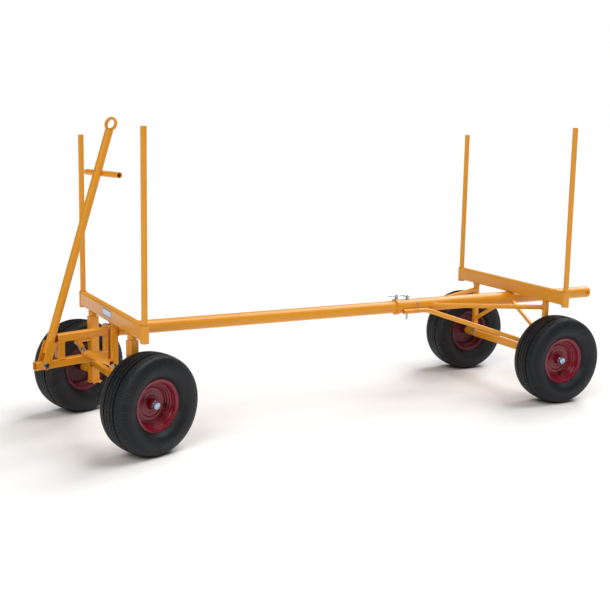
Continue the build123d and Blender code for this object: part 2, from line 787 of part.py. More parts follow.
save(bolster(rear_axle_x), "rear_bolster")
save(stake_sockets(rear_axle_x), "rear_stake_sockets")

with BuildPart() as rear_axle_beam:
    start = Vector(rear_axle_x, -axle_beam_end, axle_height)
    plane = run_plane(start, start + left)
    extrude(box_section(plane, axle_beam_width, axle_beam_width, axle_beam_wall), amount=2 * axle_beam_end)
save(rear_axle_beam, "rear_axle_beam")

with BuildPart() as rear_posts:
    for side in sides.values():
        foot = Plane(origin=(rear_axle_x, side * rear_post_spacing / 2, axle_beam_top))
        extrude(
            box_section(foot, rear_post_width, rear_post_width, rear_post_wall),
            amount=bolster_bottom - axle_beam_top,
        )
save(rear_posts, "rear_posts")

for name, side in sides.items():
    axle_root = Vector(rear_axle_x, side * axle_beam_end, axle_height)
    axle_tip = axle_root + left * side * (
        track / 2 + hub_outer_length + axle_end_length - axle_beam_end
    )
    save(stub_axle(axle_root, axle_tip), f"rear_stub_axle_{name}")

sleeve_solid = disc(run_plane(sleeve_start, sleeve_end), sleeve_radius)
sleeve_length = run_length(sleeve_start, sleeve_end)

with BuildPart() as upper_braces:
    for side in sides.values():
        start = Vector(rear_axle_x + upper_brace_start, 0, tube_height)
        end = Vector(rear_axle_x, side * rear_post_spacing / 2, tube_height)
        extrude(
            ring_section(run_plane(start, end), brace_diameter, brace_wall), amount=run_length(start, end)
        )
    extrude(sleeve_solid, amount=sleeve_length, mode=Mode.SUBTRACT)
    for side in sides.values():
        foot = Plane(origin=(rear_axle_x, side * rear_post_spacing / 2, axle_beam_top))
        extrude(
            slab(foot, rear_post_width, rear_post_width),
            amount=bolster_bottom - axle_beam_top,
            mode=Mode.SUBTRACT,
        )
save(upper_braces, "upper_braces")

brace_gap = sleeve_radius + brace_diameter / 2 + seat_gap
brace_side = brace_gap * cos(radians(lower_brace_angle))
brace_level = tube_height - brace_gap * sin(radians(lower_brace_angle))
with BuildPart() as lower_braces:
    for side in sides.values():
        start = Vector(rear_axle_x + lower_brace_start, side * brace_side, brace_level)
        bend = Vector(rear_axle_x + lower_brace_bend, side * brace_side, brace_level)
        end = Vector(rear_axle_x, side * rear_post_spacing / 2, lower_brace_foot_height)
        with BuildLine() as path:
            FilletPolyline(start, bend, end, radius=lower_brace_bend_radius)
        sweep(ring_section(run_plane(start, bend), brace_diameter, brace_wall), path=path.wires()[0])
        foot = Plane(origin=(rear_axle_x, side * rear_post_spacing / 2, axle_beam_top))
        extrude(
            slab(foot, rear_post_width, rear_post_width),
            amount=bolster_bottom - axle_beam_top,
            mode=Mode.SUBTRACT,
        )
save(lower_braces, "lower_braces")

with BuildPart() as axle_struts:
    for side in sides.values():
        start = Vector(rear_axle_x, 0, tube_height)
        end = Vector(rear_axle_x, side * rear_post_spacing / 2, strut_foot_height)
        extrude(
            box_section(run_plane(start, end, (1, 0, 0)), strut_width, strut_width, strut_wall),
            amount=run_length(start, end),
        )
    extrude(sleeve_solid, amount=sleeve_length, mode=Mode.SUBTRACT)
    for side in sides.values():
        foot = Plane(origin=(rear_axle_x, side * rear_post_spacing / 2, axle_beam_top))
        extrude(
            slab(foot, rear_post_width, rear_post_width),
            amount=bolster_bottom - axle_beam_top,
            mode=Mode.SUBTRACT,
        )
save(axle_struts, "axle_struts")


# ================================================================ stakes
def stake(centre_x, side, top):
    """Round tube that stands loose in its socket."""
    foot = Plane(origin=(centre_x, side * stake_y, socket_bottom + socket_floor + seat_gap))
    with BuildPart() as part:
        extrude(ring_section(foot, stake_diameter, stake_wall), amount=top - foot.origin.Z)
    return part


for name, side in sides.items():
    top = left_stake_top if side > 0 else right_stake_top
    save(stake(kingpin_x, side, top), f"stake_front_{name}")
    save(stake(rear_axle_x, side, top), f"stake_rear_{name}")
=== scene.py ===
"""Long load trailer: tyres, rims, welds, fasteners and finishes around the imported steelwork.

Each piece takes its place from the loaded frame: node boxes, joint axes and mounts.
Lengths are in metres.
"""

import json
from math import cos, hypot, pi, radians, sin, sqrt

import bmesh
import bpy
from mathutils import Matrix, Vector


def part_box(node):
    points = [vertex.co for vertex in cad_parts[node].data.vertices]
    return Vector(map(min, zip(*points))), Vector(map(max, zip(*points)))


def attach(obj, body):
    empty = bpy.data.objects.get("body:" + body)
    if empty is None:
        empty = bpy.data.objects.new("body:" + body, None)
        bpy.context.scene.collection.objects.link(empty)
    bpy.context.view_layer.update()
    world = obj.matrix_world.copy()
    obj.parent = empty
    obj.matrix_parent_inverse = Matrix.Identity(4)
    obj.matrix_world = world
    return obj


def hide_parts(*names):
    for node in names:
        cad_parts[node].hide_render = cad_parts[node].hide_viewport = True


bl_info = {
    "name": "Long load trailer",
    "version": (1, 0, 0),
    "blender": (4, 5, 0),
    "location": "3D View > Sidebar > Trailer",
    "description": "Builds the tyres, rims, welds, fasteners and finishes of a long load trailer",
    "category": "Object",
}

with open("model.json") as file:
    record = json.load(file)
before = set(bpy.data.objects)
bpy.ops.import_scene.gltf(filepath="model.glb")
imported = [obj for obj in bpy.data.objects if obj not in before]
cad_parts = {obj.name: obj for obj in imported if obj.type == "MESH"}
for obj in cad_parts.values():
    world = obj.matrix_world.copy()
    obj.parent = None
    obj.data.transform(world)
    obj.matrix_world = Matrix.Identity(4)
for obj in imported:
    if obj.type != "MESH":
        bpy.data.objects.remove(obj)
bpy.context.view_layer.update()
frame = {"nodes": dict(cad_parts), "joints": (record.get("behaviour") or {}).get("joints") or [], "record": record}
JOINTS = {joint["name"]: joint for joint in frame["joints"]}
MOUNTS = {mount["name"]: mount for mount in frame["record"]["mounts"]}
SLOTS = {part["node"]: part["material_slot"] for part in frame["record"]["subparts"]}

UP = Vector((0, 0, 1))
WHEELS = ("front_left", "front_right", "rear_left", "rear_right")


# ---- places read from the frame
def joint_point(name):
    """A joint's anchor."""
    return Vector(JOINTS[name]["pos_m"])


def mount_point(name):
    """A mount's centre."""
    return Vector(MOUNTS[name]["pos_m"])


def wheel_axle(wheel):
    """A wheel's centre and its outboard direction."""
    joint = JOINTS[f"wheel_{wheel}_spin"]
    side = 1 if wheel.endswith("left") else -1
    return Vector(joint["pos_m"]), Vector(joint["axis"]).normalized() * side


def middle(node):
    """Middle of a node's box."""
    low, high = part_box(node)
    return (low + high) / 2


ABEAM = Vector(JOINTS["drawbar_lift"]["axis"]).normalized()
HEADING = ABEAM.cross(UP)
HINGE = joint_point("drawbar_lift")
PIVOT = joint_point("frame_steer")
EYE = mount_point("towing_eye")
EYE_AXIS = Vector(MOUNTS["towing_eye"]["axis"]).normalized()
DRAWBAR = (EYE - HINGE).normalized()
DRAWBAR_BACK = ABEAM.cross(DRAWBAR)
TUBE_Z = mount_point("tube_end_hole").z
FRONT_BED = mount_point("front_bed")
REAR_BED = mount_point("rear_bed")


# ---- mesh tools
def new_piece(name, points, faces, body, finish, angle=35.0, uvs=None):
    """Mesh object from points and faces, in a named finish, smoothed up to an angle, riding on a body."""
    mesh = bpy.data.meshes.new(name)
    mesh.from_pydata([tuple(p) for p in points], [], faces)
    if uvs:
        layer = mesh.uv_layers.new(name="round")
        for corner, uv in enumerate(uvs):
            layer.data[corner].uv = uv
    work = bmesh.new()
    work.from_mesh(mesh)
    bmesh.ops.remove_doubles(work, verts=work.verts, dist=1e-6)
    bmesh.ops.recalc_face_normals(work, faces=work.faces)
    work.to_mesh(mesh)
    work.free()
    mesh.shade_smooth()
    mesh.set_sharp_from_angle(angle=radians(angle))
    piece = bpy.data.objects.new(name, mesh)
    bpy.context.scene.collection.objects.link(piece)
    mesh.materials.append(finish_named(finish))
    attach(piece, body)
    return piece


def joined(parts):
    """Several (points, faces) lists as one."""
    points, faces = [], []
    for more_points, more_faces in parts:
        base = len(points)
        points += more_points
        faces += [tuple(base + i for i in face) for face in more_faces]
    return points, faces


def rounded(profile, radius, steps=4, closed=True):
    """Profile with each corner replaced by a short arc of at most that radius."""
    result = []
    count = len(profile)
    for i, (x, y) in enumerate(profile):
        if not closed and i in (0, count - 1):
            result.append((x, y))
            continue
        here = Vector((x, y))
        before = Vector(profile[i - 1]) - here
        after = Vector(profile[(i + 1) % count]) - here
        cut = min(radius, before.length * 0.45, after.length * 0.45)
        start = here + before.normalized() * cut
        end = here + after.normalized() * cut
        for k in range(steps + 1):
            t = k / steps
            point = start * (1 - t) ** 2 + here * (2 * t * (1 - t)) + end * t**2
            result.append((point.x, point.y))
    return result


def across(axis):
    """Two directions square to an axis: one level, one as upright as can be."""
    side = axis.cross(UP)
    if side.length < 1e-3:
        side = Vector((1, 0, 0))
    side.normalize()
    return side, side.cross(axis).normalized()


def lathe(profile, centre, axis, steps, wave=None, closed=True):
    """Points, faces and corner coordinates of a profile of (along, radius) turned about an axis.

    The first coordinate is the share of a turn and the second the metres along the profile.
    """
    side, top = across(axis)
    travel = [0.0]
    for (x0, y0), (x1, y1) in zip(profile, profile[1:]):
        travel.append(travel[-1] + hypot(x1 - x0, y1 - y0))
    points = []
    for k in range(steps):
        turn = 2 * pi * k / steps
        spoke = top * cos(turn) + side * sin(turn)
        for along, radius in profile:
            shift, rise = wave(along, radius, turn) if wave else (0.0, 0.0)
            points.append(centre + axis * (along + shift) + spoke * (radius + rise))
    rings = len(profile)
    faces, uvs = [], []
    for k in range(steps):
        here, there = k * rings, (k + 1) % steps * rings
        for i in range(rings if closed else rings - 1):
            j = (i + 1) % rings
            faces.append((here + i, here + j, there + j, there + i))
            a, b = k / steps, (k + 1) / steps
            uvs += [(a, travel[i]), (a, travel[j]), (b, travel[j]), (b, travel[i])]
    return points, faces, uvs


def turned(profile, centre, axis, steps):
    """Points and faces of an open profile turned about an axis."""
    points, faces, _ = lathe(profile, centre, axis, steps, closed=False)
    return points, faces


def hose(path, radius, closed=False, ripple=None, sides=8):
    """Points and faces of a round bar bent along a list of points, with an optional radius ripple."""
    count = len(path)
    points, faces = [], []
    side = None
    for i, point in enumerate(path):
        before = path[i - 1] if closed or i else path[0]
        after = path[(i + 1) % count] if closed or i < count - 1 else path[-1]
        along = (after - before).normalized()
        if side is None:
            side = along.cross(UP if abs(along.z) < 0.9 else Vector((1, 0, 0))).normalized()
        side = (side - along * side.dot(along)).normalized()
        top = along.cross(side)
        size = radius * (ripple(i) if ripple else 1.0)
        for k in range(sides):
            turn = 2 * pi * k / sides
            points.append(point + (side * cos(turn) + top * sin(turn)) * size)
    for i in range(count if closed else count - 1):
        here, there = i * sides, (i + 1) % count * sides
        for k in range(sides):
            m = (k + 1) % sides
            faces.append((here + k, here + m, there + m, there + k))
    if not closed:
        faces.append(tuple(range(sides)))
        faces.append(tuple((count - 1) * sides + k for k in reversed(range(sides))))
    return points, faces


def walk(corners, spacing, closed=False):
    """Evenly spaced points along straight runs."""
    runs = list(zip(corners, corners[1:] + corners[:1] if closed else corners[1:]))
    points = []
    for start, end in runs:
        steps = max(1, round((end - start).length / spacing))
        points += [start.lerp(end, k / steps) for k in range(steps)]
    if not closed:
        points.append(corners[-1])
    return points


def circle(centre, axis, radius, spacing, start=0.0, sweep=2 * pi):
    """Evenly spaced points round a circle or an arc of it."""
    side, top = across(axis)
    steps = max(8, round(sweep * radius / spacing))
    last = steps if sweep > 6.28 else steps + 1
    turns = [start + sweep * k / steps for k in range(last)]
    return [centre + (side * cos(t) + top * sin(t)) * radius for t in turns]


def square(centre, side, along, width, height, corner):
    """Points of a rectangle with its corners cut at 45 degrees."""
    points = []
    half_w, half_h = width / 2, height / 2
    for sx, sy in ((1, 1), (-1, 1), (-1, -1), (1, -1)):
        a = side * (sx * half_w) + along * (sy * (half_h - corner))
        b = side * (sx * (half_w - corner)) + along * (sy * half_h)
        points += [centre + p for p in ((a, b) if sx * sy > 0 else (b, a))]
    return points


def saddle(start, along, radius, host_point, host_axis, host_radius, steps=40):
    """Line where a round branch meets a round host tube."""
    side = along.cross(host_axis).normalized()
    top = along.cross(side).normalized()
    points = []
    for k in range(steps):
        turn = 2 * pi * k / steps
        point = start + (side * cos(turn) + top * sin(turn)) * radius
        offset = point - host_point
        flat = offset - host_axis * offset.dot(host_axis)
        run = along - host_axis * along.dot(host_axis)
        a, b, c = run.dot(run), 2 * flat.dot(run), flat.dot(flat) - host_radius**2
        root = b * b - 4 * a * c
        if root < 0:
            raise RuntimeError("a branch misses its host tube")
        points.append(point + along * ((-b - sqrt(root)) / (2 * a)))
    return points


def hex_head(centre, axis, radius, height):
    """Points and faces of a hexagon head or nut with chamfered corners."""
    side, top = across(axis)
    flat = radius * cos(pi / 6)
    rings = []
    for level, corner, mid in ((0.0, radius * 0.96, flat * 0.96), (0.08, radius, flat), (0.80, radius, flat),
                               (0.97, radius * 0.93, flat), (1.0, flat * 0.9, flat * 0.9)):
        ring = []
        for k in range(12):
            turn = 2 * pi * k / 12
            size = corner if k % 2 == 0 else mid
            ring.append(centre + axis * (height * level) + (side * cos(turn) + top * sin(turn)) * size)
        rings.append(ring)
    points = [p for ring in rings for p in ring]
    faces = [tuple(reversed(range(12))), tuple(48 + k for k in range(12))]
    for r in range(4):
        for k in range(12):
            m = (k + 1) % 12
            faces.append((12 * r + k, 12 * r + m, 12 * r + 12 + m, 12 * r + 12 + k))
    return points, faces


def washer(centre, axis, inner, outer, thickness):
    """Points and faces of a flat washer with eased edges."""
    edge = thickness * 0.3
    profile = [(0, inner), (0, outer - edge), (edge, outer), (thickness - edge, outer),
               (thickness, outer - edge), (thickness, inner)]
    points, faces, _ = lathe(profile, centre, axis, 32)
    return points, faces


def threaded_end(centre, axis, radius, length, pitch=0.0015):
    """Points and faces of a screw end with visible thread ridges and a chamfered tip."""
    profile = [(0, 0)]
    turns = max(1, int((length - pitch) / pitch))
    for k in range(turns):
        profile += [(k * pitch, radius * 0.92), ((k + 0.5) * pitch, radius)]
    profile += [(length - pitch * 0.6, radius * 0.9), (length, radius * 0.72), (length, 0)]
    return turned(profile, centre, axis, 24)


# ---- finishes
def linear(hex_code):
    """An sRGB hex colour as linear red, green, blue and alpha."""
    levels = [int(hex_code[i:i + 2], 16) / 255 for i in (1, 3, 5)]
    return [v / 12.92 if v <= 0.04045 else ((v + 0.055) / 1.055) ** 2.4 for v in levels] + [1.0]


def add_node(tree, kind, links=(), **settings):
    """Add a shader node; settings name attributes or input sockets, links join outputs to its inputs."""
    node = tree.nodes.new("ShaderNode" + kind)
    for key, value in settings.items():
        if hasattr(node, key):
            setattr(node, key, value)
        else:
            node.inputs[key.replace("_", " ")].default_value = value
    for source, output, target in links:
        tree.links.new(source.outputs[output], node.inputs[target])
    return node


def new_finish(name):
    """Material with only a coordinate node, its node tree and that node."""
    finish = bpy.data.materials.new(name)
    finish.use_nodes = True
    tree = finish.node_tree
    tree.nodes.clear()
    return finish, tree, add_node(tree, "TexCoord")


def close_finish(finish, tree, shader):
    """Join the shader to the material's output."""
    add_node(tree, "OutputMaterial", [(shader, 0, "Surface")])
    return finish


def sprayed_enamel(name, base, shade, fade, wear, roughness):
    """Alkyd enamel sprayed on steel: a deep even colour under a glossy, slightly wavy skin."""
    finish, tree, place = new_finish(name)
    # film thickness drifts over a hand's breadth, about 120 mm
    drift = add_node(tree, "TexNoise", [(place, "Object", "Vector")], Scale=1 / 0.12, Detail=3.0,
                     Roughness=0.55)
    tone = add_node(tree, "Mix", [(drift, "Fac", "Factor")], data_type="RGBA", A=linear(base),
                    B=linear(shade))
    # workshop dust, in patches of about 25 mm
    dust = add_node(tree, "TexNoise", [(place, "Object", "Vector")], Scale=1 / 0.025, Detail=6.0,
                    Roughness=0.65)
    dust_mask = add_node(tree, "MapRange", [(dust, "Fac", "Value")], From_Min=0.55, From_Max=0.8,
                         To_Min=0.0, To_Max=wear)
    dusted = add_node(tree, "Mix", [(dust_mask, 0, "Factor"), (tone, "Result", "A")], data_type="RGBA",
                      B=linear(fade))
    gloss = add_node(tree, "MapRange", [(dust, "Fac", "Value")], From_Min=0.3, From_Max=0.75,
                     To_Min=roughness - 0.05, To_Max=roughness + 0.09)
    # orange peel is about 2 mm across on the real skin; 4 mm here so that it shows
    peel = add_node(tree, "TexNoise", [(place, "Object", "Vector")], Scale=1 / 0.004, Detail=1.0,
                    Roughness=0.4)
    skin = add_node(tree, "Bump", [(peel, "Fac", "Height")], Strength=0.10, Distance=0.0004)
    shader = add_node(tree, "BsdfPrincipled",
                      [(dusted, "Result", "Base Color"), (gloss, 0, "Roughness"), (skin, 0, "Normal")],
                      IOR=1.5, Metallic=0.0, Specular_IOR_Level=0.45, Coat_Weight=0.08, Coat_Roughness=0.12)
    return close_finish(finish, tree, shader)


TREAD_CUTS = 160  # round one tyre
TREAD_START = 0.085  # metres from the bead along the tyre's skin


def moulded_rubber(name, base, dusty):
    """Carbon-black tyre rubber from a steel mould: dull, faintly blue, with fine cuts across the tread."""
    finish, tree, place = new_finish(name)
    # handling marks and dust lie in patches of about 60 mm
    smear = add_node(tree, "TexNoise", [(place, "Object", "Vector")], Scale=1 / 0.06, Detail=5.0,
                     Roughness=0.6)
    tone = add_node(tree, "Mix", [(smear, "Fac", "Factor")], data_type="RGBA", A=linear(base),
                    B=linear(dusty))
    dull = add_node(tree, "MapRange", [(smear, "Fac", "Value")], From_Min=0.3, From_Max=0.7, To_Min=0.45,
                    To_Max=0.62)
    # the mould's grain is under 1 mm on the real skin; 3 mm here so that it shows
    grain = add_node(tree, "TexNoise", [(place, "Object", "Vector")], Scale=1 / 0.003, Detail=2.0,
                     Roughness=0.6)
    skin = add_node(tree, "Bump", [(grain, "Fac", "Height")], Strength=0.25, Distance=0.0004)
    # fine cuts across the tread, one every 10 mm round the tyre
    round_tyre = add_node(tree, "SeparateXYZ", [(place, "UV", "Vector")])
    phase = add_node(tree, "Math", [(round_tyre, "X", 0)], operation="MULTIPLY")
    phase.inputs[1].default_value = 2 * pi * TREAD_CUTS
    cut = add_node(tree, "Math", [(phase, 0, 0)], operation="SINE")
    band = add_node(tree, "MapRange", [(round_tyre, "Y", "Value")], interpolation_type="SMOOTHSTEP",
                    From_Min=TREAD_START, From_Max=TREAD_START + 0.015, To_Min=0.0, To_Max=1.0)
    ribs = add_node(tree, "Math", [(cut, 0, 0), (band, 0, 1)], operation="MULTIPLY")
    moulded = add_node(tree, "Bump", [(ribs, 0, "Height"), (skin, 0, "Normal")], Strength=0.8,
                       Distance=0.0012)
    shader = add_node(tree, "BsdfPrincipled",
                      [(tone, "Result", "Base Color"), (dull, 0, "Roughness"), (moulded, 0, "Normal")],
                      IOR=1.45, Specular_IOR_Level=0.45)
    return close_finish(finish, tree, shader)


def zinc_plate(name, bright, dark, roughness):
    """Blue-passivated zinc plate: a bright cold metal with faint clouds from the bath."""
    finish, tree, place = new_finish(name)
    # clouds from the plating bath are about 8 mm across
    clouds = add_node(tree, "TexNoise", [(place, "Object", "Vector")], Scale=1 / 0.008, Detail=4.0,
                      Roughness=0.6)
    tone = add_node(tree, "Mix", [(clouds, "Fac", "Factor")], data_type="RGBA", A=linear(bright),
                    B=linear(dark))
    haze = add_node(tree, "MapRange", [(clouds, "Fac", "Value")], From_Min=0.3, From_Max=0.7,
                    To_Min=roughness - 0.06, To_Max=roughness + 0.08)
    skin = add_node(tree, "Bump", [(clouds, "Fac", "Height")], Strength=0.08, Distance=0.0003)
    shader = add_node(tree, "BsdfPrincipled",
                      [(tone, "Result", "Base Color"), (haze, 0, "Roughness"), (skin, 0, "Normal")],
                      Metallic=1.0)
    return close_finish(finish, tree, shader)


def moulded_plastic(name, base, shade, roughness):
    """Moulded plastic, valve rubber or vinyl film: even colour and a fine satin grain."""
    finish, tree, place = new_finish(name)
    # the grain is under 1 mm on the real skin; 1.5 mm here so that it shows
    grain = add_node(tree, "TexNoise", [(place, "Object", "Vector")], Scale=1 / 0.0015, Detail=2.0,
                     Roughness=0.5)
    tone = add_node(tree, "Mix", [(grain, "Fac", "Factor")], data_type="RGBA", A=linear(base),
                    B=linear(shade))
    skin = add_node(tree, "Bump", [(grain, "Fac", "Height")], Strength=0.15, Distance=0.0002)
    shader = add_node(tree, "BsdfPrincipled", [(tone, "Result", "Base Color"), (skin, 0, "Normal")],
                      Roughness=roughness, IOR=1.49)
    return close_finish(finish, tree, shader)


def paper_sweep(name, base, shade):
    """Matt seamless background paper: nearly white, with a faint long mottle."""
    finish, tree, place = new_finish(name)
    # the paper's waves are a little over a metre long
    mottle = add_node(tree, "TexNoise", [(place, "Object", "Vector")], Scale=0.8, Detail=2.0)
    tone = add_node(tree, "Mix", [(mottle, "Fac", "Factor")], data_type="RGBA", A=linear(base),
                    B=linear(shade))
    shader = add_node(tree, "BsdfPrincipled", [(tone, "Result", "Base Color")], Roughness=0.9, IOR=1.45)
    return close_finish(finish, tree, shader)


# ---- settings a user would change
class TrailerFinishSettings(bpy.types.PropertyGroup):
    """Colours and gloss of the trailer."""

    frame_colour: bpy.props.StringProperty(
        name="Frame enamel", description="Hex colour of the frame's enamel", default="#ECA023")
    frame_shade: bpy.props.StringProperty(
        name="Frame enamel, thick", description="Hex colour where the film is thicker", default="#E2951D")
    rim_colour: bpy.props.StringProperty(
        name="Rim enamel", description="Hex colour of the rims' enamel", default="#8A142B")
    rim_shade: bpy.props.StringProperty(
        name="Rim enamel, thick", description="Hex colour where the rim film is thicker", default="#740F22")
    # painted shade: a darker, greyer enamel colour for the rims' inner side, standing for the shade the rims sit
    # in
    rim_inner_painted_shade: bpy.props.StringProperty(
        name="Rim film", description="Hex colour of the road film on the rims' inner side", default="#3A2024")
    rubber_colour: bpy.props.StringProperty(
        name="Rubber", description="Hex colour of the tyre rubber", default="#07090D")
    rubber_dust: bpy.props.StringProperty(
        name="Rubber, dusty", description="Hex colour of the rubber where it holds dust", default="#11161D")
    frame_roughness: bpy.props.FloatProperty(
        name="Frame roughness", description="Mean roughness of the frame's enamel",
        default=0.32, min=0.05, max=1.0, subtype="FACTOR")


class TrailerWheelSettings(bpy.types.PropertyGroup):
    """Sizes of the tyres and rims."""

    tread_steps: bpy.props.IntProperty(
        name="Tread steps", description="Steps round the tyre, four to each shoulder rib", default=384,
        min=48, max=720)
    rib_height: bpy.props.FloatProperty(
        name="Rib height", description="Height of the short ribs round the shoulder", default=0.0009,
        min=0.0, max=0.003, unit="LENGTH")
    groove_depth: bpy.props.FloatProperty(
        name="Groove depth", description="Depth of the wide tread grooves", default=0.0075,
        min=0.001, max=0.012, unit="LENGTH")
    groove_width: bpy.props.FloatProperty(
        name="Groove width", description="Width of the wide tread grooves", default=0.0100,
        min=0.002, max=0.02, unit="LENGTH")
    zigzag: bpy.props.FloatProperty(
        name="Zigzag", description="Sideways swing of the tread grooves", default=0.0018,
        min=0.0, max=0.006, unit="LENGTH")
    valve_radius: bpy.props.FloatProperty(
        name="Valve circle", description="Distance of the valve from the axle", default=0.082,
        min=0.05, max=0.1, unit="LENGTH")


class TrailerHardwareSettings(bpy.types.PropertyGroup):
    """Sizes of the welds and small hardware."""

    weld_size: bpy.props.FloatProperty(
        name="Weld size", description="Radius of the weld beads", default=0.0032,
        min=0.001, max=0.008, unit="LENGTH")
    weld_pitch: bpy.props.FloatProperty(
        name="Weld ripple", description="Distance between weld ripples", default=0.0045,
        min=0.002, max=0.01, unit="LENGTH")
    plate_width: bpy.props.FloatProperty(
        name="Plate width", description="Width of the blank plate", default=0.140,
        min=0.03, max=0.2, unit="LENGTH")
    plate_height: bpy.props.FloatProperty(
        name="Plate height", description="Height of the blank plate", default=0.040,
        min=0.01, max=0.07, unit="LENGTH")


class TrailerStageSettings(bpy.types.PropertyGroup):
    """Camera, floor and light."""

    camera_place: bpy.props.FloatVectorProperty(
        name="Camera place", description="Camera position", default=(3.0287, 5.3451, 1.6950),
        size=3, subtype="TRANSLATION")
    camera_yaw: bpy.props.FloatProperty(
        name="Camera yaw", description="Heading of the view from +X", default=-2.0374,
        subtype="ANGLE")
    camera_pitch: bpy.props.FloatProperty(
        name="Camera pitch", description="Rise of the view", default=-0.1703,
        subtype="ANGLE")
    camera_roll: bpy.props.FloatProperty(
        name="Camera roll", description="Roll of the view", default=0.0167,
        subtype="ANGLE")
    lens: bpy.props.FloatProperty(
        name="Lens", description="Focal length on a 36 mm sensor", default=65.54, min=20.0, max=200.0,
        unit="CAMERA")
    lens_shift: bpy.props.FloatVectorProperty(
        name="Lens shift", description="Shift of the picture, in shares of its width",
        default=(0.0262, -0.0232), size=2, precision=4)
    floor_colour: bpy.props.StringProperty(
        name="Floor", description="Hex colour of the floor", default="#FBFBFB")


def settings(group):
    """One settings group of the current scene."""
    return getattr(bpy.context.scene, group)


def finish_named(name):
    """A finish made by the finishes operator."""
    if name not in bpy.data.materials:
        raise RuntimeError(f"the finish {name} isn't made yet: run the finishes first")
    return bpy.data.materials[name]


class TRAILER_OT_finishes(bpy.types.Operator):
    """Make the finishes and put them on the steelwork"""

    bl_idname = "trailer.finishes"
    bl_label = "Finishes"

    def execute(self, context):
        look = settings("trailer_finish")
        frame_enamel = sprayed_enamel("orange_yellow_enamel", look.frame_colour, look.frame_shade,
                                      "#EFC27C", 0.22, look.frame_roughness)
        sprayed_enamel("crimson_rim_enamel", look.rim_colour, look.rim_shade, "#B5656C", 0.08, 0.24)
        # painted shade on the rims' inner side: dark greyish red enamel where the rims sit in shade
        sprayed_enamel("painted_shade_on_rim", look.rim_inner_painted_shade, look.rim_shade, "#4A4342", 0.75, 0.55)
        moulded_rubber("carbon_black_rubber", look.rubber_colour, look.rubber_dust)
        zinc = zinc_plate("bright_zinc_plate", "#BCCBE0", "#97A6BD", 0.24)
        moulded_plastic("black_valve_rubber", "#141414", "#1C1C1C", 0.55)
        moulded_plastic("pale_blue_film", "#DCE7F2", "#D2DEEB", 0.35)
        moulded_plastic("blue_border_film", "#3F74B4", "#376AA8", 0.35)
        paper_sweep("white_paper_sweep", settings("trailer_stage").floor_colour, "#F8F8F7")
        by_slot = {"yellow_paint": frame_enamel, "zinc_steel": zinc}
        for node, piece in frame["nodes"].items():
            finish = by_slot.get(SLOTS.get(node))
            if finish:
                piece.data.materials.clear()
                piece.data.materials.append(finish)
        return {"FINISHED"}


# ---- weld beads
def bead(path, closed, size=1.0, ripple=0.12):
    """Rippled weld bead along evenly spaced points."""
    radius = settings("trailer_hardware").weld_size * size
    return hose(path, radius, closed=closed, ripple=lambda i: 1.0 + ripple * cos(2 * pi * i / 3))


def step():
    """Spacing of the points along a weld."""
    return settings("trailer_hardware").weld_pitch / 3


# ---- wheels
# tyre section
TYRE_BEAD = 0.0577  # half width at the rim
TYRE_SEAT = 0.1173  # radius at the rim
TYRE_NECK = 0.1293  # radius where the side leaves the rim
WIDEST_SHARE = 0.52  # of the section's height
SHOULDER_SHARE = 0.82  # of the half width
SHOULDER_DROP = 0.0105
GROOVES = ((0.0125, 0.55), (0.0345, 1.0))  # distance from the middle, share of the full groove
RIB_GAP = 0.0115  # from a groove's middle to the rib on its inner side
CROWN_POINTS = (0.070, 0.062, 0.054, 0.046)  # between the shoulder and the outer groove
ZIGZAG_REACH = 0.020  # grooves nearer the middle than this run in a zigzag
ZIGZAG_STEPS = 8  # tread steps to one swing


def tyre_profile(half, radius, seat, bead, neck):
    """Outer half of a ribbed implement tyre's section, from the bead to the shoulder."""
    widest = seat + WIDEST_SHARE * (radius - seat)
    profile = [(bead, seat), (bead, neck)]
    low_radius = ((half - bead) ** 2 + (widest - neck) ** 2) / (2 * (half - bead))
    low_centre = half - low_radius
    span = (widest - neck) / low_radius
    for k in range(1, 12):
        turn = -span * (1 - k / 12)
        profile.append((low_centre + low_radius * cos(turn), widest + low_radius * sin(turn)))
    shoulder_x, shoulder_y = half * SHOULDER_SHARE, radius - SHOULDER_DROP
    high_radius = ((half - shoulder_x) ** 2 + (shoulder_y - widest) ** 2) / (2 * (half - shoulder_x))
    high_centre = half - high_radius
    top = (shoulder_y - widest) / high_radius
    for k in range(11):
        turn = top * k / 10
        profile.append((high_centre + high_radius * cos(turn), widest + high_radius * sin(turn)))
    return profile, shoulder_x, shoulder_y


def crown(x, shoulder_x, shoulder_y, radius):
    """Radius of the tread at a distance from its middle."""
    return radius - (radius - shoulder_y) * (abs(x) / shoulder_x) ** 2.4


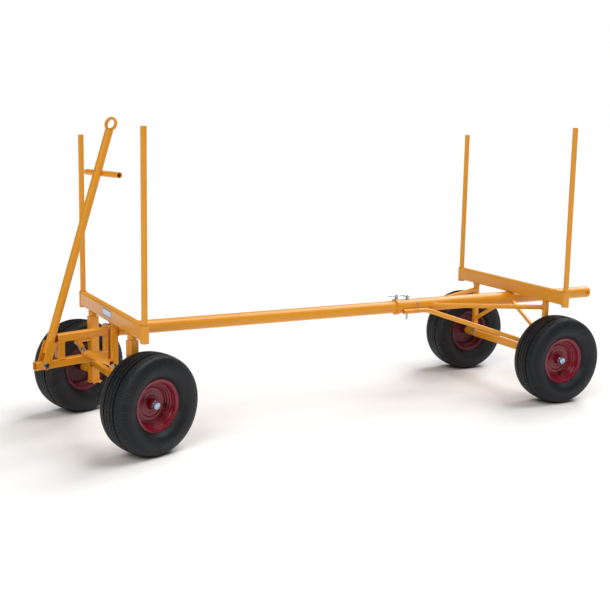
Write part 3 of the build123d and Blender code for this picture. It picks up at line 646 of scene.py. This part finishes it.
def build_tyre(wheel):
    """Ribbed tyre, turned about its axle, in place of the plain one."""
    sizes = settings("trailer_wheel")
    centre, out = wheel_axle(wheel)
    low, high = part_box(f"tyre_{wheel}")
    radius = (high.z - low.z) / 2
    low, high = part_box("tyre_rear_left")
    half, bead, seat = (high.y - low.y) / 2, TYRE_BEAD, TYRE_SEAT
    side, shoulder_x, shoulder_y = tyre_profile(half, radius, seat, bead, TYRE_NECK)
    edge = sizes.groove_width / 2
    wall = edge * 0.25
    section = [(edge + wall, 0), (edge, 0), (edge - wall, 1), (-edge + wall, 1), (-edge, 0),
               (-edge - wall, 0)]
    right = [(x, crown(x, shoulder_x, shoulder_y, radius)) for x in CROWN_POINTS]
    for groove, share in reversed(GROOVES):
        for offset, deep in section:
            x = groove + offset * share
            right.append((x, crown(x, shoulder_x, shoulder_y, radius) - sizes.groove_depth * deep * share))
        rib = groove - RIB_GAP
        right.append((rib, crown(rib, shoulder_x, shoulder_y, radius)))
    outer = side + right
    # the cavity's wall, in from the bead and out to the tread
    inner_wall = [(bead - 0.008, seat), (bead + 0.012, seat + 0.03), (half - 0.012, 0.186),
                  (half * 0.72, radius - 0.026), (0.0, radius - 0.0175)]
    inner = inner_wall + [(-x, y) for x, y in reversed(inner_wall[:-1])]
    profile = outer + [(-x, y) for x, y in reversed(outer)] + list(reversed(inner))

    # the shoulder's short ribs run between these radii
    rib_top = radius - 0.012
    rib_foot = seat + 0.62 * (radius - seat)

    def swing(along, reach, turn):
        """Zigzag of the inner grooves, and short ribs round the shoulder."""
        if reach > shoulder_y and abs(along) < ZIGZAG_REACH:
            phase = turn * sizes.tread_steps / (2 * pi) % ZIGZAG_STEPS / ZIGZAG_STEPS
            return sizes.zigzag * (4 * abs(phase - 0.5) - 1), 0.0
        if reach < rib_foot or reach > rib_top or abs(along) < half * 0.7:
            return 0.0, 0.0
        share = sin(pi * (reach - rib_foot) / (rib_top - rib_foot))
        rise = sizes.rib_height * share * cos(turn * sizes.tread_steps / 4)
        return (rise * 0.7 if along > 0 else -rise * 0.7), rise * 0.7

    points, faces, uvs = lathe(profile, centre, out, sizes.tread_steps, wave=swing)
    tyre = new_piece(f"ribbed_tyre_{wheel}", points, faces, f"wheel_{wheel}",
                     "carbon_black_rubber", angle=42.0, uvs=uvs)
    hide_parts(f"tyre_{wheel}")


# rim sections as (distance from the wheel's middle, radius)
RIM_HALF = 0.062
RIM_OUTSIDE = [(RIM_HALF + 0.0008, 0.1295), (RIM_HALF - 0.003, 0.1315), (RIM_HALF - 0.0065, 0.129),
               (RIM_HALF - 0.0072, 0.1165), (0.028, 0.1165), (0.026, 0.107), (0.0155, 0.097)]
RIM_INSIDE = [(RIM_HALF, 0.1255), (RIM_HALF - 0.0025, 0.1185), (RIM_HALF - 0.005, 0.1132), (0.044, 0.1122),
              (0.041, 0.1090), (0.032, 0.1086), (0.0295, 0.1015), (0.0215, 0.1005), (0.019, 0.0935),
              (0.0095, 0.0925)]
RIM_DISC = [(0.0085, 0.087), (0.0115, 0.080), (0.0115, 0.066), (0.008, 0.060), (0.008, 0.043),
            (0.0105, 0.0385), (0.0105, 0.0315), (0.0125, 0.0275)]
RIM_BACK = [(-0.045, 0.0176), (-0.045, 0.027), (0.0005, 0.0275), (0.002, 0.040), (0.002, 0.0925),
            (-0.017, 0.0935), (-0.0295, 0.1035), (-0.032, 0.1122), (-RIM_HALF + 0.005, 0.1127),
            (-RIM_HALF + 0.0025, 0.1185), (-RIM_HALF, 0.1255)]
RIM_PAINTED_SHADE_EDGE = 0.004  # faces inboard of this carry the painted shade
HUB_RADIUS = 0.0270
HUB_BORE = 0.0176


def build_rim(wheel):
    """Pressed rim with rolled flanges, stepped well and swaged disc, in place of the plain one."""
    centre, out = wheel_axle(wheel)
    hub_end = [(hub_face(), HUB_RADIUS), (hub_face(), HUB_BORE)]
    outer_back = [(-x, y) for x, y in RIM_OUTSIDE]
    profile = RIM_OUTSIDE[::-1] + RIM_INSIDE + RIM_DISC + hub_end + RIM_BACK + outer_back
    points, faces, _ = lathe(rounded(profile, 0.0022, steps=3), centre, out, 96)
    body = f"wheel_{wheel}"
    rim = new_piece(f"pressed_rim_{wheel}", points, faces, body, "crimson_rim_enamel",
                    angle=50.0)
    # faces on the inboard side take the darker painted shade
    rim.data.materials.append(finish_named("painted_shade_on_rim"))
    for face in rim.data.polygons:
        if (face.center - centre).dot(out) < RIM_PAINTED_SHADE_EDGE:
            face.material_index = 1
    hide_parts(f"rim_{wheel}")
    ring = circle(centre + out * 0.0105, out, HUB_RADIUS + 0.0015, step())
    points, faces = bead(ring, True, 0.8, ripple=0.11)
    new_piece(f"hub_weld_{wheel}", points, faces, body, "crimson_rim_enamel", angle=80.0)


def hub_face():
    """Outer end of the hubs, from the wheel's middle."""
    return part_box("hub_cap_rear_left")[0].y - joint_point("wheel_rear_left_spin").y


# hub cap section as (distance from the hub's face, radius)
HUB_CAP = ((0.0002, 0.0), (0.0002, 0.0185), (0.0002, 0.0222), (0.0030, 0.0222), (0.0043, 0.0208),
           (0.0105, 0.0204), (0.0138, 0.0190), (0.0154, 0.0154), (0.0159, 0.0120), (0.0147, 0.0100),
           (0.0150, 0.0060), (0.0155, 0.0))


def build_hub_cap(wheel):
    """Pressed zinc cap with a rolled collar, in place of the plain cup."""
    centre, out = wheel_axle(wheel)
    face = hub_face()
    profile = [(face + along, reach) for along, reach in HUB_CAP]
    points, faces = turned(rounded(profile, 0.0012, steps=3, closed=False), centre, out, 48)
    cap = new_piece(f"pressed_hub_cap_{wheel}", points, faces, f"wheel_{wheel}",
                    "bright_zinc_plate", angle=50.0)
    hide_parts(f"hub_cap_{wheel}")


# valve stem section as (distance from the disc, radius), before it is brought to size
VALVE_STEM = ((-0.002, 0.0), (-0.002, 0.0085), (0.003, 0.0085), (0.005, 0.0062), (0.022, 0.0048),
              (0.024, 0.0042), (0.025, 0.0049), (0.026, 0.0052), (0.036, 0.0050), (0.0375, 0.0040),
              (0.0375, 0.0))
VALVE_LENGTH_SHARE, VALVE_WIDTH_SHARE = 0.62, 0.9
VALVE_TURNS = {"front_left": -104.0, "front_right": 40.0, "rear_left": 193.0, "rear_right": 120.0}


def build_valve(wheel):
    """Rubber valve stem with its screw cap, standing out of the rim's disc."""
    centre, out = wheel_axle(wheel)
    side = out.cross(UP).normalized()
    turn = radians(VALVE_TURNS[wheel])
    spoke = UP * cos(turn) + side * sin(turn)
    foot = centre + out * 0.0085 + spoke * settings("trailer_wheel").valve_radius
    lean = (out + spoke * 0.10).normalized()
    stem = [(along * VALVE_LENGTH_SHARE, reach * VALVE_WIDTH_SHARE) for along, reach in VALVE_STEM]
    points, faces = turned(rounded(stem, 0.0006, steps=2, closed=False), foot, lean, 24)
    new_piece(f"valve_stem_{wheel}", points, faces, f"wheel_{wheel}",
              "black_valve_rubber", angle=50.0)


class TRAILER_OT_tyres(bpy.types.Operator):
    """Build the ribbed tyres"""

    bl_idname = "trailer.tyres"
    bl_label = "Tyres"

    def execute(self, context):
        for wheel in WHEELS:
            build_tyre(wheel)
        return {"FINISHED"}


class TRAILER_OT_rims(bpy.types.Operator):
    """Build the rims, hub caps and valves"""

    bl_idname = "trailer.rims"
    bl_label = "Rims"

    def execute(self, context):
        for wheel in WHEELS:
            build_rim(wheel)
            build_hub_cap(wheel)
            build_valve(wheel)
        return {"FINISHED"}


# ---- welds
def seam(corners, closed=True, size=1.0):
    """Weld bead along straight runs."""
    return bead(walk(corners, step(), closed), closed, size)


def weld_piece(name, body, beads):
    """One painted piece from a body's weld beads."""
    points, faces = joined(beads)
    new_piece(name, points, faces, body, "orange_yellow_enamel", angle=80.0)


X, Y = Vector((1, 0, 0)), Vector((0, 1, 0))
FACE_GAP = 0.001  # a weld's distance inside the end of a post
POST_CORNER = 0.005  # corner of the square tubes
KINGPIN_RADIUS = 0.0125
PIVOT_TUBE_RADIUS = 0.016
LUG_THICKNESS = 0.008
HANDLE_RADIUS = 0.013
DRAWBAR_HALF = 0.0105  # half width of the drawbar where the handle passes
DRAWBAR_END, DRAWBAR_END_RADIUS = 0.041, 0.0190  # the tube's end below the eye's centre
SHANK_END = 0.0325  # the eye's shank starts this far below its centre
SHANK_SECTION = (0.031, 0.013, 0.004)  # width, thickness, cut corner
LUG_HALF = 0.017  # half width of a pivot lug
BRACE_RADIUS = 0.0135
UPPER_BRACE_SETBACK = 0.182  # from the sleeve's front end
STRUT_RISE = 0.016  # from the lower end of the struts to the middle of their upper end
STRUT_SECTION = (0.020, 0.028, 0.003)  # width, height, cut corner
LOWER_BRACE_FOOT = 0.290
LOWER_BRACE_BEND = Vector((0.630, 0.0488, 0.5073))  # from below the rear bed


def bolster_welds(end):
    """Welds of one bolster to its two stake sockets."""
    low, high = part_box(f"{end}_bolster")
    socket_low, socket_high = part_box(f"{end}_stake_sockets")
    radius = (socket_high.x - socket_low.x) / 2
    half = (high.x - low.x) / 2
    centre_x = (low.x + high.x) / 2
    stake_y = socket_high.y - radius
    reach = sqrt(radius**2 - half**2)
    beads = []
    for sign in (1, -1):
        for face in (1, -1):
            line = [Vector((centre_x + face * half, sign * (stake_y - reach - 0.001), z))
                    for z in (low.z + 0.008, high.z - 0.008)]
            beads.append(seam(line, closed=False))
    return beads


def post_ends(node, x, y, ahead, abeam, width):
    """Weld beads round both ends of a square post."""
    low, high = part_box(node)
    return [seam(square(Vector((x, y, z)), ahead, abeam, width, width, POST_CORNER))
            for z in (low.z + FACE_GAP, high.z - FACE_GAP)]


def arc(centre, ahead, aside, radius, reach, steps):
    """Points of an arc round a centre, reach degrees to either side of ahead."""
    turns = [radians(-reach + 2 * reach * k / steps) for k in range(steps + 1)]
    return [centre + ahead * (radius * cos(t)) + aside * (radius * sin(t)) for t in turns]


def front_frame_beads():
    """Welds of the bolster, the main tube's end, the centre post, its pivot lugs and the king pins."""
    beads = bolster_welds("front")
    low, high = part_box("centre_post")
    beads += post_ends("centre_post", (low.x + high.x) / 2, 0, X, Y, high.x - low.x)
    tube_low, tube_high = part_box("main_tube")
    tube_radius = (tube_high.z - tube_low.z) / 2
    beads.append(bead(circle(Vector((tube_high.x - 0.002, 0, TUBE_Z)), X, tube_radius, step()), True))
    lug_low, lug_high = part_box("pivot_lugs")
    for z in (lug_low.z, lug_low.z + LUG_THICKNESS, lug_high.z, lug_high.z - LUG_THICKNESS):
        line = [Vector((high.x, y, z)) for y in (-LUG_HALF, LUG_HALF)]
        beads.append(seam(line, closed=False, size=0.8))
    pin_y = joint_point("knuckle_left_steer").y
    for sign in (1, -1):
        place = Vector((FRONT_BED.x, sign * pin_y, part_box("front_bolster")[0].z))
        beads.append(bead(circle(place, UP, KINGPIN_RADIUS, step()), True))
    return beads


def drawbar_frame_beads():
    """Welds of both beams to the pivot tube and of the upright between them."""
    beads = []
    upper_low, upper_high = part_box("frame_upper_beam")
    lower_low, lower_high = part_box("frame_lower_beam")
    beam_width = upper_high.z - upper_low.z
    for z in (upper_low.z, upper_high.z, lower_low.z, lower_high.z):
        middle_z = upper_low.z + beam_width / 2 if z >= upper_low.z else lower_low.z + beam_width / 2
        start = Vector((PIVOT.x, PIVOT.y, middle_z + (z - middle_z) * 0.98))
        beads.append(seam(arc(start, HEADING, ABEAM, PIVOT_TUBE_RADIUS, 68, 12), closed=False, size=0.8))
    upright = middle("frame_upright")
    beads += post_ends("frame_upright", upright.x, upright.y, HEADING, ABEAM, beam_width)
    return beads


def drawbar_beads():
    """Welds of the towing eye, its shank and the cross handle."""
    ring_across = EYE_AXIS.cross(DRAWBAR).normalized()
    beads = [bead(circle(EYE - DRAWBAR * DRAWBAR_END, DRAWBAR, DRAWBAR_END_RADIUS, step()), True, 0.7)]
    shank = square(EYE - DRAWBAR * SHANK_END, ring_across, EYE_AXIS, *SHANK_SECTION)
    beads.append(seam(shank, size=0.9))
    for sign in (1, -1):
        place = middle("cross_handle") + ABEAM * (sign * DRAWBAR_HALF)
        beads.append(seam(arc(place, -DRAWBAR_BACK, DRAWBAR, HANDLE_RADIUS, 60, 10), closed=False, size=0.9))
    return beads


class TRAILER_OT_front_welds(bpy.types.Operator):
    """Lay the welds of the front frame, the drawbar frame and the drawbar"""

    bl_idname = "trailer.front_welds"
    bl_label = "Front welds"

    def execute(self, context):
        weld_piece("front_frame_welds", "front_frame", front_frame_beads())
        weld_piece("drawbar_frame_welds", "drawbar_frame", drawbar_frame_beads())
        weld_piece("drawbar_welds", "drawbar", drawbar_beads())
        return {"FINISHED"}


def rear_bogie_beads():
    """Welds of the bolster, the posts, the sleeve and its ring, the braces and the axle struts."""
    beads = bolster_welds("rear")
    low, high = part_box("rear_posts")
    post_width = high.x - low.x
    post_y = high.y - post_width / 2
    for sign in (1, -1):
        beads += post_ends("rear_posts", REAR_BED.x, sign * post_y, X, Y, post_width)
    sleeve_low, sleeve_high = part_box("rear_sleeve")
    sleeve_radius = (sleeve_high.z - sleeve_low.z) / 2
    ring_end = Vector((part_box("clamp_ring")[0].x, 0, TUBE_Z))
    host = Vector((0, 0, TUBE_Z))
    beads.append(bead(circle(ring_end, X, sleeve_radius + 0.0005, step()), True))
    for face in (1, -1):
        line = [Vector((REAR_BED.x + face * 0.02, y, TUBE_Z + sqrt(sleeve_radius**2 - y * y)))
                for y in [0.001 * k for k in range(-9, 10)]]
        beads.append(seam(line, closed=False))
    for sign in (1, -1):
        end = Vector((REAR_BED.x, sign * post_y, TUBE_Z))
        start = Vector((sleeve_high.x - UPPER_BRACE_SETBACK, 0, TUBE_Z))
        along = (start - end).normalized()
        beads.append(bead(saddle(end, along, BRACE_RADIUS, host, X, sleeve_radius), True))
        beads.append(post_weld(end, along, BRACE_RADIUS, post_width))
    strut_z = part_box("axle_struts")[0].z + STRUT_RISE
    for sign in (1, -1):
        foot = Vector((REAR_BED.x, sign * (post_y - post_width / 2), strut_z))
        beads.append(seam(square(foot, X, UP, *STRUT_SECTION)))
    for sign in (1, -1):
        end = Vector((REAR_BED.x, sign * post_y, LOWER_BRACE_FOOT))
        bend = Vector((REAR_BED.x + LOWER_BRACE_BEND.x, sign * LOWER_BRACE_BEND.y, LOWER_BRACE_BEND.z))
        beads.append(post_weld(end, (bend - end).normalized(), BRACE_RADIUS, post_width))
    return beads


class TRAILER_OT_rear_welds(bpy.types.Operator):
    """Lay the welds of the rear bogie"""

    bl_idname = "trailer.rear_welds"
    bl_label = "Rear welds"

    def execute(self, context):
        weld_piece("rear_bogie_welds", "rear_bogie", rear_bogie_beads())
        return {"FINISHED"}


def post_weld(end, along, radius, width):
    """Weld where a round brace meets the inner face of a post."""
    points = []
    face_y = end.y - (width / 2 if end.y > 0 else -width / 2)
    front_x = end.x + width / 2
    side = along.cross(UP).normalized()
    for k in range(36):
        turn = 2 * pi * k / 36
        point = end + (side * cos(turn) + UP * sin(turn)) * radius
        to_face = (face_y - point.y) / along.y
        to_front = (front_x - point.x) / along.x
        points.append(point + along * (max(to_front, 0.0) if to_front < to_face else to_face))
    return bead(points, True)


# ---- fasteners
def zinc_piece(name, body, parts, angle=28.0):
    """One zinc-plated piece from several (points, faces) lists."""
    points, faces = joined(parts)
    new_piece(name, points, faces, body, "bright_zinc_plate", angle=angle)


def bolt_end(place, axis, ring, head, thread=None, bite=0.0):
    """Washer, hexagon head or nut, and the screw end past it as (start, radius, length)."""
    parts = [washer(place, axis, *ring), hex_head(place + axis * (ring[2] - bite), axis, *head)]
    if thread:
        parts.append(threaded_end(place + axis * thread[0], axis, *thread[1:]))
    return parts


BITE = 0.0001  # how far touching pieces run into each other
WASHER_12 = (0.0062, 0.0118, 0.0016)  # inner radius, outer radius, thickness
WASHER_16 = (0.0082, 0.0150, 0.0018)
WASHER_8 = (0.0042, 0.0072, 0.0012)
ROD_BOLT_LEVEL = 0.008  # washer below the top of a tie-rod bolt, and above the steering arm's top
ARM_THICKNESS = 0.010
ARM_LENGTH = 0.108
HINGE_HALF = 0.0268  # half width over the drawbar's fork
PLATE_BOLT_REACH = 0.019
NIPPLE_HEIGHT, NIPPLE_REACH = 0.47, 0.0225
# sections as (distance along the axis, radius)
PIVOT_DOME = ((-0.0062, 0.0), (-0.0062, 0.0152), (-0.001, 0.0152), (0.001, 0.0142), (0.0022, 0.0105),
              (0.0028, 0.0))
GREASE_NIPPLE = ((-0.001, 0.0), (-0.001, 0.005), (0.003, 0.005), (0.0035, 0.003), (0.008, 0.0028),
                 (0.0085, 0.0034), (0.011, 0.0028), (0.0115, 0.0))
LINCH_PIN = ((-0.030, 0.0), (-0.0298, 0.0012), (-0.027, 0.0030), (0.010, 0.0031), (0.010, 0.0055),
             (0.016, 0.0055), (0.017, 0.0045), (0.017, 0.0))
LINCH_RING_RADIUS, LINCH_WIRE_RADIUS = 0.019, 0.0014


def knuckle_fasteners(side, sign):
    """Arm nut, rod bolt head, plate bolts and grease nipple of one knuckle."""
    knuckle = joint_point(f"knuckle_{side}_steer")
    arm_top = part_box(f"steering_arm_{side}")[1].z
    out = wheel_axle(f"front_{side}")[1]
    ahead = (out * sign).cross(UP)
    eye = Vector((knuckle.x, knuckle.y, 0)) + ahead * ARM_LENGTH
    nut = Vector((eye.x, eye.y, arm_top - ARM_THICKNESS))
    parts = bolt_end(nut + UP * BITE, -UP, WASHER_12, (0.0102, 0.0080), (0.0091, 0.0058, 0.006))
    zinc_piece(f"arm_nut_{side}", f"knuckle_{side}", parts)
    top = Vector((eye.x, eye.y, arm_top + 0.0003 + ROD_BOLT_LEVEL))
    parts = bolt_end(top - UP * BITE, UP, WASHER_12, (0.0104, 0.0070))
    zinc_piece(f"arm_bolt_head_{side}", f"steering_rod_{side}", parts)
    plate = middle(f"knuckle_plate_{side}")
    plate.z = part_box(f"knuckle_plate_{side}")[0].z
    bolts = []
    for a in (1, -1):
        for b in (1, -1):
            place = plate + ahead * (a * PLATE_BOLT_REACH) + out * (b * PLATE_BOLT_REACH)
            bolts += bolt_end(place + UP * BITE, -UP, WASHER_8, (0.0064, 0.0048))
    zinc_piece(f"knuckle_plate_bolts_{side}", f"knuckle_{side}", bolts)
    nipple = Vector((knuckle.x, knuckle.y, NIPPLE_HEIGHT)) + ahead * NIPPLE_REACH
    zinc_piece(f"grease_nipple_{side}", f"knuckle_{side}", [turned(GREASE_NIPPLE, nipple, ahead, 16)],
               angle=35.0)


class TRAILER_OT_fasteners(bpy.types.Operator):
    """Fit the bolts, washers, nuts and pins"""

    bl_idname = "trailer.fasteners"
    bl_label = "Fasteners"

    def execute(self, context):
        head = middle("tie_rod_bolt")
        place = Vector((head.x, head.y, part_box("tie_rod_bolt")[1].z - ROD_BOLT_LEVEL))
        bolt = bolt_end(place - UP * BITE, UP, WASHER_12, (0.0102, 0.0072), (0.0086, 0.0058, 0.005))
        zinc_piece("tie_rod_bolt_head", "drawbar_frame", bolt)

        hexagon = (0.0123, 0.0078)
        head = bolt_end(HINGE + ABEAM * HINGE_HALF, ABEAM, WASHER_16, hexagon, bite=BITE)
        nut = bolt_end(HINGE - ABEAM * HINGE_HALF, -ABEAM, WASHER_16, hexagon, (0.009, 0.0078, 0.008), BITE)
        zinc_piece("drawbar_hinge_fasteners", "drawbar_frame", head + nut)

        place = Vector((PIVOT.x, PIVOT.y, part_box("pivot_pin")[1].z))
        dome = turned(rounded(PIVOT_DOME, 0.001, steps=3, closed=False), place, UP, 40)
        zinc_piece("pivot_pin_head", "front_frame", [dome], angle=50.0)

        knuckle_fasteners("left", 1)
        knuckle_fasteners("right", -1)
        return {"FINISHED"}


def linch_pin(name, place, axis, hang, body):
    """Linch pin with its sprung wire ring hanging from the head."""
    pin = turned(rounded(LINCH_PIN, 0.0008, steps=2, closed=False), place, axis, 20)
    centre = place + axis * 0.013 + hang * LINCH_RING_RADIUS
    normal = (axis.cross(hang).normalized() + axis * 0.35).normalized()
    ring = hose(circle(centre, normal, LINCH_RING_RADIUS, 0.0016), LINCH_WIRE_RADIUS, closed=True)
    zinc_piece(name, body, [pin, ring], angle=50.0)


CLAMP_PIN = Vector((-0.13, 0.041, 0.020))  # from the sleeve's front end, on the tube's middle line
AXLE_PIN = Vector((0.004, 0.06, 0.0))  # from the axle beam's upper front corner on the right


class TRAILER_OT_linch_pins(bpy.types.Operator):
    """Fit the linch pins with their wire rings"""

    bl_idname = "trailer.linch_pins"
    bl_label = "Linch pins"

    def execute(self, context):
        beam_low, beam_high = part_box("rear_axle_beam")
        place = Vector((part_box("rear_sleeve")[1].x, 0, TUBE_Z)) + CLAMP_PIN
        linch_pin("clamp_linch_pin", place, Y, (-UP + X * 0.15).normalized(), "rear_bogie")
        place = Vector((beam_high.x, beam_low.y, beam_high.z)) + AXLE_PIN
        linch_pin("axle_linch_pin", place, UP, (X * 0.8 - UP * 0.6).normalized(), "rear_bogie")
        return {"FINISHED"}


PLATE_SIDE, PLATE_RISE = -0.012, 0.006  # from the middle of the bolster's face


class TRAILER_OT_blank_plate(bpy.types.Operator):
    """Put the blank plate on the front bolster"""

    bl_idname = "trailer.blank_plate"
    bl_label = "Blank plate"

    def execute(self, context):
        sizes = settings("trailer_hardware")
        low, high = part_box("front_bolster")
        centre = Vector((high.x, PLATE_SIDE, (low.z + high.z) / 2 + PLATE_RISE))
        for name, finish, width, height, lift, thick in (
                ("plate_border", "blue_border_film", sizes.plate_width, sizes.plate_height, 0.0, 0.0006),
                ("plate_field", "pale_blue_film", sizes.plate_width - 0.010, sizes.plate_height - 0.012,
                 0.0006, 0.0003)):
            outline = rounded([(-width / 2, -height / 2), (width / 2, -height / 2), (width / 2, height / 2),
                               (-width / 2, height / 2)], 0.004, steps=5)
            count = len(outline)
            points = [centre + Vector((lift + d, y, z)) for d in (0.0, thick) for y, z in outline]
            faces = [tuple(range(count)), tuple(count + i for i in range(count))]
            faces += [(i, (i + 1) % count, count + (i + 1) % count, count + i) for i in range(count)]
            new_piece(name, points, faces, "front_frame", finish, angle=30.0)
        return {"FINISHED"}


# ---- stage
FLOOR_REACH = 60.0
# name, direction to the lamp, power, width in degrees, colour
LAMPS = (
    ("overhead_box", (-0.45, 0.10, 0.89), 1.45, 36, "#FFFFFF"),
    ("front_key", (0.66, 0.62, 0.80), 1.25, 34, "#FFFBF4"),
    ("rear_key", (-0.70, -0.40, 0.80), 1.1, 24, "#FFFFFF"),
)


def studio_lamp(name, towards, power, spread, colour):
    """Distant soft lamp; towards points from the trailer to the lamp, spread is its width in degrees."""
    data = bpy.data.lights.new(name, "SUN")
    data.energy = power
    data.angle = radians(spread)
    data.color = linear(colour)[:3]
    lamp = bpy.data.objects.new(name, data)
    lamp.rotation_euler = Vector(towards).to_track_quat("Z", "Y").to_euler()
    bpy.context.scene.collection.objects.link(lamp)


def paper_floor():
    """Wide floor of background paper."""
    mesh = bpy.data.meshes.new("floor")
    corners = [(x * FLOOR_REACH, y * FLOOR_REACH, 0) for x, y in ((-1, -1), (1, -1), (1, 1), (-1, 1))]
    mesh.from_pydata(corners, [], [(0, 1, 2, 3)])
    floor = bpy.data.objects.new("floor", mesh)
    mesh.materials.append(finish_named("white_paper_sweep"))
    bpy.context.scene.collection.objects.link(floor)


def studio_world():
    """White behind the trailer, and a soft fill that is stronger from overhead."""
    world = bpy.data.worlds.new("studio")
    bpy.context.scene.world = world
    world.use_nodes = True
    tree = world.node_tree
    tree.nodes.clear()
    seen = add_node(tree, "LightPath")
    around = add_node(tree, "TexCoord")
    height = add_node(tree, "SeparateXYZ", [(around, "Generated", "Vector")])
    overhead = add_node(tree, "MapRange", [(height, "Z", "Value")], interpolation_type="SMOOTHSTEP",
                        From_Min=0.05, From_Max=0.95, To_Min=0.04, To_Max=0.32)
    fill = add_node(tree, "Background", [(overhead, 0, "Strength")], Color=linear("#F4F6FA"))
    backdrop = add_node(tree, "Background", Color=linear("#FFFFFF"), Strength=1.0)
    both = add_node(tree, "MixShader", [(seen, "Is Camera Ray", 0), (fill, 0, 1), (backdrop, 0, 2)])
    add_node(tree, "OutputWorld", [(both, 0, "Surface")])


def studio_camera():
    """Camera in the place, heading, rise and roll of the stage settings."""
    stage = settings("trailer_stage")
    data = bpy.data.cameras.new("camera")
    data.sensor_width = 36.0
    data.lens = stage.lens
    data.shift_x, data.shift_y = stage.lens_shift
    data.clip_end = 200.0
    camera = bpy.data.objects.new("camera", data)
    yaw, pitch, roll = stage.camera_yaw, stage.camera_pitch, stage.camera_roll
    forward = Vector((cos(yaw) * cos(pitch), sin(yaw) * cos(pitch), sin(pitch)))
    level = forward.cross(UP).normalized()
    over = level.cross(forward)
    side = level * cos(roll) + over * sin(roll)
    over = over * cos(roll) - level * sin(roll)
    facing = Matrix((side, over, -forward)).transposed().to_4x4()
    camera.matrix_world = Matrix.Translation(stage.camera_place) @ facing
    bpy.context.scene.collection.objects.link(camera)
    bpy.context.scene.camera = camera


class TRAILER_OT_stage(bpy.types.Operator):
    """Set the floor, the soft studio light and the camera"""

    bl_idname = "trailer.stage"
    bl_label = "Stage"

    def execute(self, context):
        context.scene.view_settings.view_transform = "Standard"
        paper_floor()
        studio_world()
        for lamp in LAMPS:
            studio_lamp(*lamp)
        studio_camera()
        return {"FINISHED"}


class TRAILER_PT_sidebar(bpy.types.Panel):
    """Buttons and settings of the trailer"""

    bl_idname = "TRAILER_PT_sidebar"
    bl_label = "Long load trailer"
    bl_space_type = "VIEW_3D"
    bl_region_type = "UI"
    bl_category = "Trailer"

    def draw(self, context):
        for group in SETTINGS:
            box = self.layout.box()
            values = getattr(context.scene, group)
            for name in values.__annotations__:
                box.prop(values, name)
        for operator in OPERATORS:
            self.layout.operator(operator.bl_idname)


SETTINGS = {
    "trailer_finish": TrailerFinishSettings,
    "trailer_wheel": TrailerWheelSettings,
    "trailer_hardware": TrailerHardwareSettings,
    "trailer_stage": TrailerStageSettings,
}
OPERATORS = (
    TRAILER_OT_finishes,
    TRAILER_OT_tyres,
    TRAILER_OT_rims,
    TRAILER_OT_front_welds,
    TRAILER_OT_rear_welds,
    TRAILER_OT_fasteners,
    TRAILER_OT_linch_pins,
    TRAILER_OT_blank_plate,
    TRAILER_OT_stage,
)


def register():
    """Register the settings, the operators and the panel."""
    for group, kind in SETTINGS.items():
        bpy.utils.register_class(kind)
        setattr(bpy.types.Scene, group, bpy.props.PointerProperty(type=kind))
    for kind in OPERATORS + (TRAILER_PT_sidebar,):
        bpy.utils.register_class(kind)


def unregister():
    """Remove the panel, the operators and the settings."""
    for kind in reversed(OPERATORS + (TRAILER_PT_sidebar,)):
        bpy.utils.unregister_class(kind)
    for group, kind in SETTINGS.items():
        delattr(bpy.types.Scene, group)
        bpy.utils.unregister_class(kind)


def main():
    """Register the add-on and build the looks in order."""
    register()
    bpy.ops.trailer.finishes()
    bpy.ops.trailer.tyres()
    bpy.ops.trailer.rims()
    bpy.ops.trailer.front_welds()
    bpy.ops.trailer.rear_welds()
    bpy.ops.trailer.fasteners()
    bpy.ops.trailer.linch_pins()
    bpy.ops.trailer.blank_plate()
    bpy.ops.trailer.stage()


if __name__ == "__main__":
    main()
